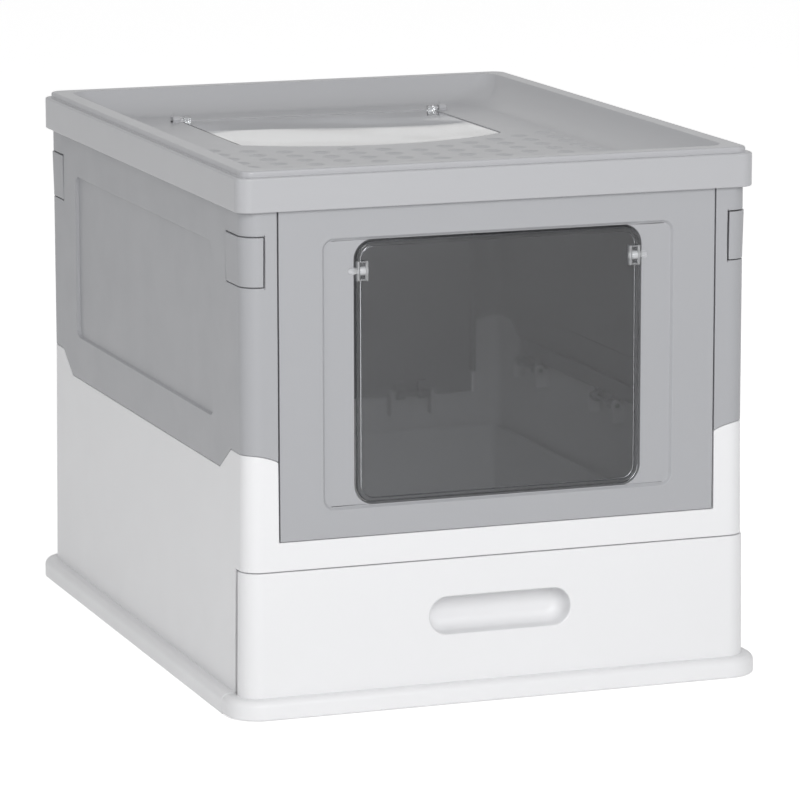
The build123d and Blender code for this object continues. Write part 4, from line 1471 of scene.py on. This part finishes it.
@dataclass
class CornerLatch:
    """Corner latch: an angled tab that flares out at its top, on an upright barrel."""

    low: float = 288.7
    high: float = 321.3
    thick: float = 2.4
    flare: float = 0.8
    side_end: float = 195.5
    front_end: float = 165.0
    pivot: tuple[float, float] = (176.9, 197.6)
    barrel: float = 2.0

    def place(self, u: Array, v: Array, depth: Array) -> Array:
        """Wall on the grey outline that stands out further with height."""
        point, normal = WALLS.panels.locate(u)
        out = self.flare * (v - self.low) / (self.high - self.low) - depth
        return np.column_stack((point + normal * out[:, None], v))

    def tab(self) -> Surface:
        """The latch of the rear right corner."""
        outline = WALLS.panels
        start, end = outline.side(self.side_end), outline.rear(self.front_end)
        arcs = outline.arcs(10)[11:]
        rows = np.linspace(self.low, self.high, 4)
        skin = Skin(sorted_lines([start, end], arcs), rows, self.place, self.thick)
        profile = [(self.low, self.barrel), (self.high, self.barrel)]
        return skin.surface() + revolved(profile, Axis.Z, (*self.pivot, 0))

    def build(self, shop: Workshop) -> None:
        """Builds the four latches and puts them on the frame."""
        rear_right = self.tab()
        front_right = rear_right.mirrored(Axis.Y)
        corners = {
            "rear_right": rear_right,
            "front_right": front_right,
            "rear_left": rear_right.mirrored(Axis.X),
            "front_left": front_right.mirrored(Axis.X),
        }
        for corner, shape in corners.items():
            node = f"latch_{corner}"
            shop.piece(f"{corner}_latch", shape, GREY_SHELL, node, [node], 0.4)


# ---------------------------------------------------------------- lid
@dataclass
class Hatch:
    """Outline of the lid opening: straight sides and rear, and a front edge that bows forward."""

    half: float = 99.0
    rear: float = 166.0
    front: float = 22.0
    bulge: float = 32.0
    corner: float = 9.0
    rear_corner: float = 1.5
    front_part: float = 60.0
    pieces: int = 30

    @property
    def bow_radius(self) -> float:
        """Radius of the bowed front edge."""
        return (self.half**2 + self.bulge**2) / (2 * self.bulge)

    def bow(self, x: Array) -> Array:
        """The bowed edge's Y at a distance x from the middle."""
        drop = self.bow_radius - np.sqrt(self.bow_radius**2 - np.asarray(x, float) ** 2)
        return self.front - self.bulge + drop

    def outline(self, gap: float = 0.0) -> Array:
        """The outline, counter-clockwise from the rear left corner, drawn in by the gap."""
        half, rear = self.half - gap, self.rear - gap
        x = np.linspace(-half, half, self.pieces + 1)
        curve = np.column_stack((x, self.bow(np.clip(x, -self.half, self.half)) + gap))
        corners = np.vstack(((-half, rear), curve, (half, rear)))
        radii = np.zeros(len(corners))
        radii[[0, -1]] = self.rear_corner
        radii[[1, -2]] = max(self.corner - gap, 1.0)
        middle = corners[1:-1]
        clear = np.abs(middle[:, 0]) < half - self.corner * 0.7
        kept = np.concatenate(([True, True], clear[1:-1], [True, True]))
        return rounded_line(corners[kept], radii[kept], closed=True, steps=6)


@dataclass
class Lid:
    """Grey lid: band, step, inset rim, dished floor with dimples, opening with its ledge and lugs."""

    floor_half: tuple[float, float] = (137.0, 189.5)
    floor_z: float = 347.0
    top: float = 365.0
    run: float = 30.0
    skin: float = 2.5
    rim: float = 42.0
    band: float = 46.0
    band_z: tuple[float, float] = (338.0, 361.0)
    skirt: tuple[float, float] = (42.8, 342.0)
    hollow: float = 39.0
    corner_runs: tuple[float, ...] = (0.0, 30.0, 39.0, 42.0, 46.0)
    corner_radii: tuple[float, ...] = (30.0, 12.0, 9.0, 8.0, 10.0)
    dimple: tuple[float, float] = (7.0, 1.6)
    pitch: tuple[float, float] = (23.0, 22.5)
    columns: int = 12
    dimple_edge: float = 9.0
    ledge: tuple[float, float, float] = (5.0, 343.1, 345.1)
    ledge_rear: float = 150.0
    hinge: tuple[float, float] = (159.0, 348.4)
    lug: tuple[float, float, float] = (100.5, 106.5, 3.0)
    hatch: Hatch = field(default_factory=Hatch)

    def slope(self) -> Array:
        """Dish slope as (run, height): an arc that leaves the floor level and steepens to the rim."""
        rise = self.top - self.floor_z
        bend = (self.run**2 + rise**2) / (2 * rise)
        turn = np.linspace(0, math.asin(self.run / bend), 14)
        return np.column_stack((bend * np.sin(turn), self.floor_z + bend * (1 - np.cos(turn))))

    def profile(self) -> Array:
        """Profile from the floor up the slope, over the rim and band, and back underneath."""
        slope = self.slope()
        low, step = self.band_z
        skirt, seat = self.skirt
        under = self.top - self.skin
        corners = [
            slope[-2], (self.run, self.top), (self.rim, self.top), (self.rim, step), (self.band, step),
            (self.band, low), (skirt, low), (skirt, seat), (self.hollow, seat), (self.hollow, under),
            (self.run + self.skin, under),
        ]
        radii = (0, 1.2, 1.5, 0.6, 1.4, 1.0, 0.5, 0.3, 0.5, 0.5, 0)
        below = slope[-2::-1] + (self.skin, -self.skin)
        return np.vstack((slope[:-2], rounded_line(corners, radii), below))

    def dimples(self) -> Array:
        """Middles of the dimples: columns with every other one shifted by half a pitch."""
        step_x, step_y = self.pitch
        start = self.dimple_edge - self.floor_half[1]
        places: list[Array] = []
        for column in range(self.columns):
            x = (column - (self.columns - 1) / 2) * step_x
            over = abs(x) < self.hatch.half + self.dimple_edge
            edge = float(self.hatch.bow(min(abs(x), self.hatch.half))) - self.ledge[0] - self.dimple_edge
            y = np.arange(start + (column % 2) * step_y / 2, edge if over else self.hatch.front, step_y)
            places.append(np.column_stack((np.full(len(y), x), y)))
        return np.vstack(places)

    def floor(self) -> tuple[Surface, list[Array]]:
        """Sphere caps of the dimples, as shrinking circles.

        Returns:
            The caps and the circle at the edge of each.
        """
        radius, depth = self.dimple
        ball = (radius**2 + depth**2) / (2 * depth)
        share = np.linspace(1, 0.12, 6)[:, None] * radius
        turn = np.arange(24) * math.pi / 12
        height = self.floor_z + ball - depth - np.sqrt(ball**2 - share**2)
        cap = np.stack((share * np.cos(turn), share * np.sin(turn), np.broadcast_to(height, (6, 24))), -1)
        centres = np.column_stack((self.dimples(), np.zeros(len(self.dimples()))))
        caps = [stack(cap + centre) for centre in centres]
        for one in caps:
            one.caps = one.caps[1:]
        return joined(caps), [cap[0, :, :2] + centre[:2] for centre in centres]

    def shell(self) -> Surface:
        """The whole skin: profile carried round the lid, floor, underside and the opening's edge."""
        run, z = self.profile().T
        radius = np.interp(run, self.corner_runs, self.corner_radii)
        plan = rounded_rectangle(self.floor_half[0] + run, self.floor_half[1] + run, radius, 10, 6)
        height = np.broadcast_to(z[:, None, None], (*plan.shape[:2], 1))
        round_it = stack(np.concatenate((plan, height), -1), capped=False)
        caps, circles = self.floor()
        hole = self.hatch.outline()
        under = self.floor_z - self.skin
        floor = flat_sheet(plan[0], [hole, *circles], self.floor_z)
        below = flat_sheet(plan[-1], [hole], under)
        edge = [np.column_stack((hole, np.full(len(hole), level))) for level in (self.floor_z, under)]
        return joined([round_it, floor, caps, below, stack(np.array(edge), capped=False)])

    def fittings(self) -> Surface:
        """Ledge that carries the flap, and the hinge lugs at the rear of the opening."""
        reach, low, high = self.ledge
        hole = self.hatch.outline()
        ends = np.array(((-self.hatch.half, self.ledge_rear), (self.hatch.half, self.ledge_rear)))
        path = np.vstack((ends[:1], hole[hole[:, 1] < self.hatch.front_part], ends[1:]))
        along = np.gradient(path, axis=0)
        inward = np.column_stack((-along[:, 1], along[:, 0])) / np.linalg.norm(along, axis=1, keepdims=True)
        profile = np.array(((-0.6, low), (reach, low), (reach, high), (-0.6, high)))
        plan = path[:, None] + profile[None, :, :1] * inward[:, None]
        height = np.broadcast_to(profile[None, :, 1:], (len(path), 4, 1))
        made = [stack(np.concatenate((plan, height), -1))]
        y, z = self.hinge
        x0, x1, radius = self.lug
        for side in (-1, 1):
            near, far = sorted((side * x0, side * x1))
            made.append(block((near, y - radius, self.floor_z - self.skin + 0.3), (far, y + radius, z)))
            made.append(revolved([(near, radius), (far, radius)], Axis.X, (0, y, z)))
        return joined(made)

    def build(self, shop: Workshop) -> None:
        """Builds the lid and puts it on the frame."""
        whole = self.shell() + self.fittings()
        shop.piece("lid_shell", whole, GREY_LID, "lid", ["lid"], 0.45, weld=True)


# ---------------------------------------------------------------- flaps
@dataclass
class FrontFlap:
    """Smoked see-through flap: a sheet with a bead round it, and a clip for each clear pin."""

    half: tuple[float, float, float] = (100.5, 87.3, 12.0)
    middle: float = 227.5
    plane: float = -229.0
    pivot_z: float = 295.5
    clip_reach: float = 8.0
    clip_half: float = 6.5
    clip_thick: float = 2.5
    bar: float = 1.1
    post: float = 2.0
    barrel: float = 3.4
    pin: tuple[float, float, float] = (92.0, 106.5, 2.4)

    def sheet(self) -> Surface:
        """Closed sheet: rounded rectangles carried from the back, round the bead, to the front."""
        bead = rounded_line(
            [(9, 1), (3.3, 1), (2.9, 1.8), (0, 1.8), (0, -1.8), (2.9, -1.8), (3.3, -1), (9, -1)],
            (0, 0.4, 0.6, 1.0, 1.0, 0.6, 0.4, 0),
        )
        inset, out = bead.T
        wide, tall, radius = self.half
        plan = rounded_rectangle(wide - inset, tall - inset, radius - inset, 8, 4)
        y = np.broadcast_to((self.plane + out)[:, None], plan.shape[:2])
        return stack(np.stack((plan[..., 0], y, plan[..., 1] + self.middle), -1))

    def clip(self) -> Surface:
        """Clip on the right: a frame with two windows and a barrel across its middle."""
        wide, z = self.half[0], self.pivot_z
        x0, x1 = wide - self.clip_reach, wide - 0.05
        y0, y1 = self.plane - self.clip_thick, self.plane + self.clip_thick
        top = self.clip_half
        made = [
            block((x0, y0, z - top), (x0 + self.post, y1, z + top)),
            block((x1 - self.post, y0, z - top), (x1, y1, z + top)),
        ]
        for side in (-1, 1):
            made.append(
                block(
                    (x0 + self.post, y0, z + side * (top - self.bar)), (x1 - self.post, y1, z + side * top)
                )
            )
        bore = self.pin[2] + 0.02
        made.append(tube(x0 + self.post, x1 - self.post, self.barrel, bore, Axis.X, (0, self.plane, z)))
        return joined(made)

    def pin_shape(self) -> Surface:
        """Pin on the right: a round bar with a domed outer end."""
        x0, x1, radius = self.pin
        turn = np.linspace(0, 1.45, 7)
        dome = [(x1 - radius + radius * math.sin(t), radius * math.cos(t)) for t in turn]
        profile = [(x0, radius * 0.8), (x0 + 0.4, radius), *dome]
        return revolved(profile, Axis.X, (0, self.plane, self.pivot_z))

    def build(self, shop: Workshop) -> None:
        """Builds the flap and its pins and puts them on the frame."""
        node = "front_flap"
        shop.piece("door_flap", self.sheet(), SMOKED_CLEAR, node, [node], 0.0)
        right = self.clip() + self.pin_shape()
        for side, shape in (("right", right), ("left", right.mirrored(Axis.X))):
            node = f"front_flap_pin_{side}"
            shop.piece(f"door_pin_{side}", shape, PIN_CLEAR, "front_flap", [node], 0.0)


@dataclass
class TopFlap:
    """Clear flap in the lid opening, with a barrel and a pin at each rear corner."""

    gap: float = 1.5
    z: tuple[float, float] = (345.4, 347.0)
    rear: float = 161.0
    swell: float = 0.35
    hinge: tuple[float, float] = (159.0, 348.4)
    barrel: tuple[float, float, float] = (92.5, 97.5, 2.4)
    pin: tuple[float, float, float] = (90.0, 105.0, 1.5)
    hatch: Hatch = field(default_factory=Hatch)

    def sheet(self) -> Surface:
        """Sheet on a grid over (x, share of the way to the rear), with slow swells as moulded sheet has."""
        outline = self.hatch.outline(self.gap)
        half = self.hatch.half - self.gap
        front = outline[outline[:, 1] < self.hatch.front_part]
        front = front[np.argsort(front[:, 0], kind="stable")]
        keep = np.concatenate(([True], np.diff(front[:, 0]) > 0.02))
        front = front[keep]
        x = sorted_lines(front[:, 0], np.linspace(-half, half, 33))
        edge = np.interp(x, front[:, 0], front[:, 1])
        share = np.linspace(0, 1, 26)
        y = edge[:, None] + share * (self.rear - edge)[:, None]
        xx = np.broadcast_to(x[:, None], y.shape)
        swell = self.swell * np.sin(xx / 31.0 + 0.6) * np.sin(y / 37.0) * np.sin(np.pi * share)
        low, high = self.z
        top = np.stack((xx, y, high - self.swell + swell), -1).reshape(-1, 3)
        index = np.arange(len(top)).reshape(y.shape)
        quads = np.stack((index[:-1, :-1], index[1:, :-1], index[1:, 1:], index[:-1, 1:]), -1).reshape(-1, 4)
        return Surface(top, quads).walled(top - (0, 0, high - self.swell - low))

    def build(self, shop: Workshop) -> None:
        """Builds the flap and its pins and puts them on the frame."""
        y, z = self.hinge
        x0, x1, radius = self.barrel
        barrel = revolved([(x0, radius), (x1, radius)], Axis.X, (0, y, z))
        whole = joined([self.sheet(), barrel, barrel.mirrored(Axis.X)])
        shop.piece("hatch_flap", whole, WATER_CLEAR, "top_flap", ["top_flap"], 0.3)
        x0, x1, radius = self.pin
        right = revolved([(x1 - 7.4, radius), (x1, radius)], Axis.X, (0, y, z))
        for side, shape in (("right", right), ("left", right.mirrored(Axis.X))):
            node = f"top_flap_pin_{side}"
            shop.piece(f"hatch_pin_{side}", shape, PIN_CLEAR, "top_flap", [node], 0.2)


# ---------------------------------------------------------------- studio
@dataclass
class Lamp:
    """A soft rectangular lamp that looks at the middle of the box.

    Attributes:
        name: its name.
        place: where it stands, in metres.
        size: width and height.
        power: its power in watts.
    """

    name: str
    place: tuple[float, float, float]
    size: tuple[float, float]
    power: float

    def build(self, target: Vector) -> None:
        """Adds the lamp."""
        data = bpy.data.lights.new(self.name, "AREA")
        data.shape = "RECTANGLE"
        data.size, data.size_y = self.size
        data.energy = self.power
        made = bpy.data.objects.new(self.name, data)
        made.location = self.place
        made.rotation_mode = "QUATERNION"
        made.rotation_quaternion = (target - Vector(self.place)).to_track_quat("-Z", "Y")
        bpy.context.scene.collection.objects.link(made)


@dataclass
class Studio:
    """Pale floor, even room light, soft lamps and the camera of the photograph."""

    azimuth: float = 19.859
    elevation: float = 10.797
    roll: float = -0.1
    place: tuple[float, float, float] = (-1.08743, -3.04621, 0.77871)
    lens: float = 207.63
    sensor: float = 36.0
    room: float = 0.45
    floor_half: float = 6.0
    floor_glow: float = 0.62
    aim: tuple[float, float, float] = (0.0, 0.0, 0.18)
    lamps: tuple[Lamp, ...] = (
        Lamp("front_lamp", (-0.3, -2.65, 1.3), (1.8, 1.4), 45.0),
        Lamp("side_lamp", (-2.6, -0.6, 1.0), (1.6, 1.2), 8.0),
        Lamp("top_lamp", (0.2, 0.3, 2.8), (2.2, 2.2), 3.0),
    )

    def camera(self) -> None:
        """Camera from its angles: the view direction, then right and up, turned by the roll."""
        az, el, roll = (math.radians(v) for v in (self.azimuth, self.elevation, self.roll))
        ahead = Vector((math.sin(az) * math.cos(el), math.cos(az) * math.cos(el), -math.sin(el)))
        right = Vector((math.cos(az), -math.sin(az), 0))
        up = right.cross(ahead)
        across = math.cos(roll) * right + math.sin(roll) * up
        above = math.cos(roll) * up - math.sin(roll) * right
        data = bpy.data.cameras.new("photo_camera")
        data.lens, data.sensor_width = self.lens, self.sensor
        data.clip_start, data.clip_end = 0.1, 50.0
        made = bpy.data.objects.new("photo_camera", data)
        turn = Matrix((across, above, -ahead)).transposed().to_4x4()
        made.matrix_world = Matrix.Translation(self.place) @ turn
        bpy.context.scene.collection.objects.link(made)
        bpy.context.scene.camera = made

    def shows_white(self, sheet: NodeSheet) -> bpy.types.NodeSocket:
        """1 for rays from the camera, from gloss and through clear plastic, else 0."""
        path = sheet.add("ShaderNodeLightPath")
        either = sheet.math("MAXIMUM", path.outputs["Is Camera Ray"], path.outputs["Is Glossy Ray"])
        return sheet.math("MAXIMUM", either, path.outputs["Is Transmission Ray"])

    def world(self) -> None:
        """Even room light; seen directly, the room is plain white."""
        world = bpy.data.worlds.new("room")
        world.use_nodes = True
        world.node_tree.nodes.clear()
        sheet = NodeSheet(world.node_tree)
        light = sheet.add("ShaderNodeBackground")
        level = sheet.add("ShaderNodeMix", data_type="FLOAT")
        sheet.join(self.shows_white(sheet), level.inputs["Factor"])
        level.inputs[2].default_value, level.inputs[3].default_value = self.room, 1.0
        sheet.join(level.outputs[0], light.inputs["Strength"])
        output = sheet.add("ShaderNodeOutputWorld")
        sheet.join(light.outputs[0], output.inputs["Surface"])
        bpy.context.scene.world = world

    def floor(self) -> None:
        """Pale floor that keeps the box's soft shadow."""
        half = self.floor_half / MM
        count = 9
        line = np.linspace(-half, half, count)
        level = np.zeros((count, count))
        points = np.stack((*np.meshgrid(line, line, indexing="ij"), level), -1).reshape(-1, 3)
        index = np.arange(count * count).reshape(count, count)
        quads = np.stack((index[:-1, :-1], index[1:, :-1], index[1:, 1:], index[:-1, 1:]), -1).reshape(-1, 4)
        mesh = bpy.data.meshes.new("floor")
        mesh.from_pydata((points * MM).tolist(), [], quads.tolist())
        material, sheet, _, shader = bare_material("pale_floor")
        place = sheet.add("ShaderNodeTexCoord").outputs["Object"]
        tone = sheet.add("ShaderNodeHueSaturation")
        tone.inputs["Color"].default_value = (0.9, 0.9, 0.9, 1.0)
        sheet.join(sheet.ranged(sheet.noise(place, 3.0), 0.3, 0.7, 0.99, 1.0), tone.inputs["Value"])
        sheet.join(tone.outputs["Color"], shader.inputs["Base Color"])
        shader.inputs["Roughness"].default_value = 0.9
        shader.inputs["Emission Color"].default_value = (1.0, 1.0, 1.0, 1.0)
        glow = sheet.math("MULTIPLY", self.shows_white(sheet), self.floor_glow)
        sheet.join(glow, shader.inputs["Emission Strength"])
        mesh.materials.append(material)
        made = bpy.data.objects.new("floor", mesh)
        bpy.context.scene.collection.objects.link(made)

    def build(self) -> None:
        """Adds the floor, the light and the camera, and keeps colours as they are."""
        self.floor()
        self.world()
        for lamp in self.lamps:
            lamp.build(Vector(self.aim))
        self.camera()
        bpy.context.scene.view_settings.view_transform = "Standard"


def corners(box: tuple[Vector, Vector]) -> list[list[float]]:
    """A box's corners as plain lists."""
    return [list(corner) for corner in box]


def main() -> None:
    """Builds the studio and every sub-assembly."""
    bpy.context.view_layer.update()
    Studio().build()
    shop = Workshop()
    walls = (BaseFrame(), Drawer(), EndPanel(), SidePanel(), CornerLatch())
    for assembly in (*walls, Lid(), FrontFlap(), TopFlap()):
        log.info("building %s", type(assembly).__name__)
        assembly.build(shop)
    rods = [f"{side}_hinge_rods" for side in ("left", "right", "front", "rear")]
    shop.redress([*rods, "latch_pins", "drawer_screws"], STEEL)
    log.info("sizes written")


if __name__ == "__main__":
    main()
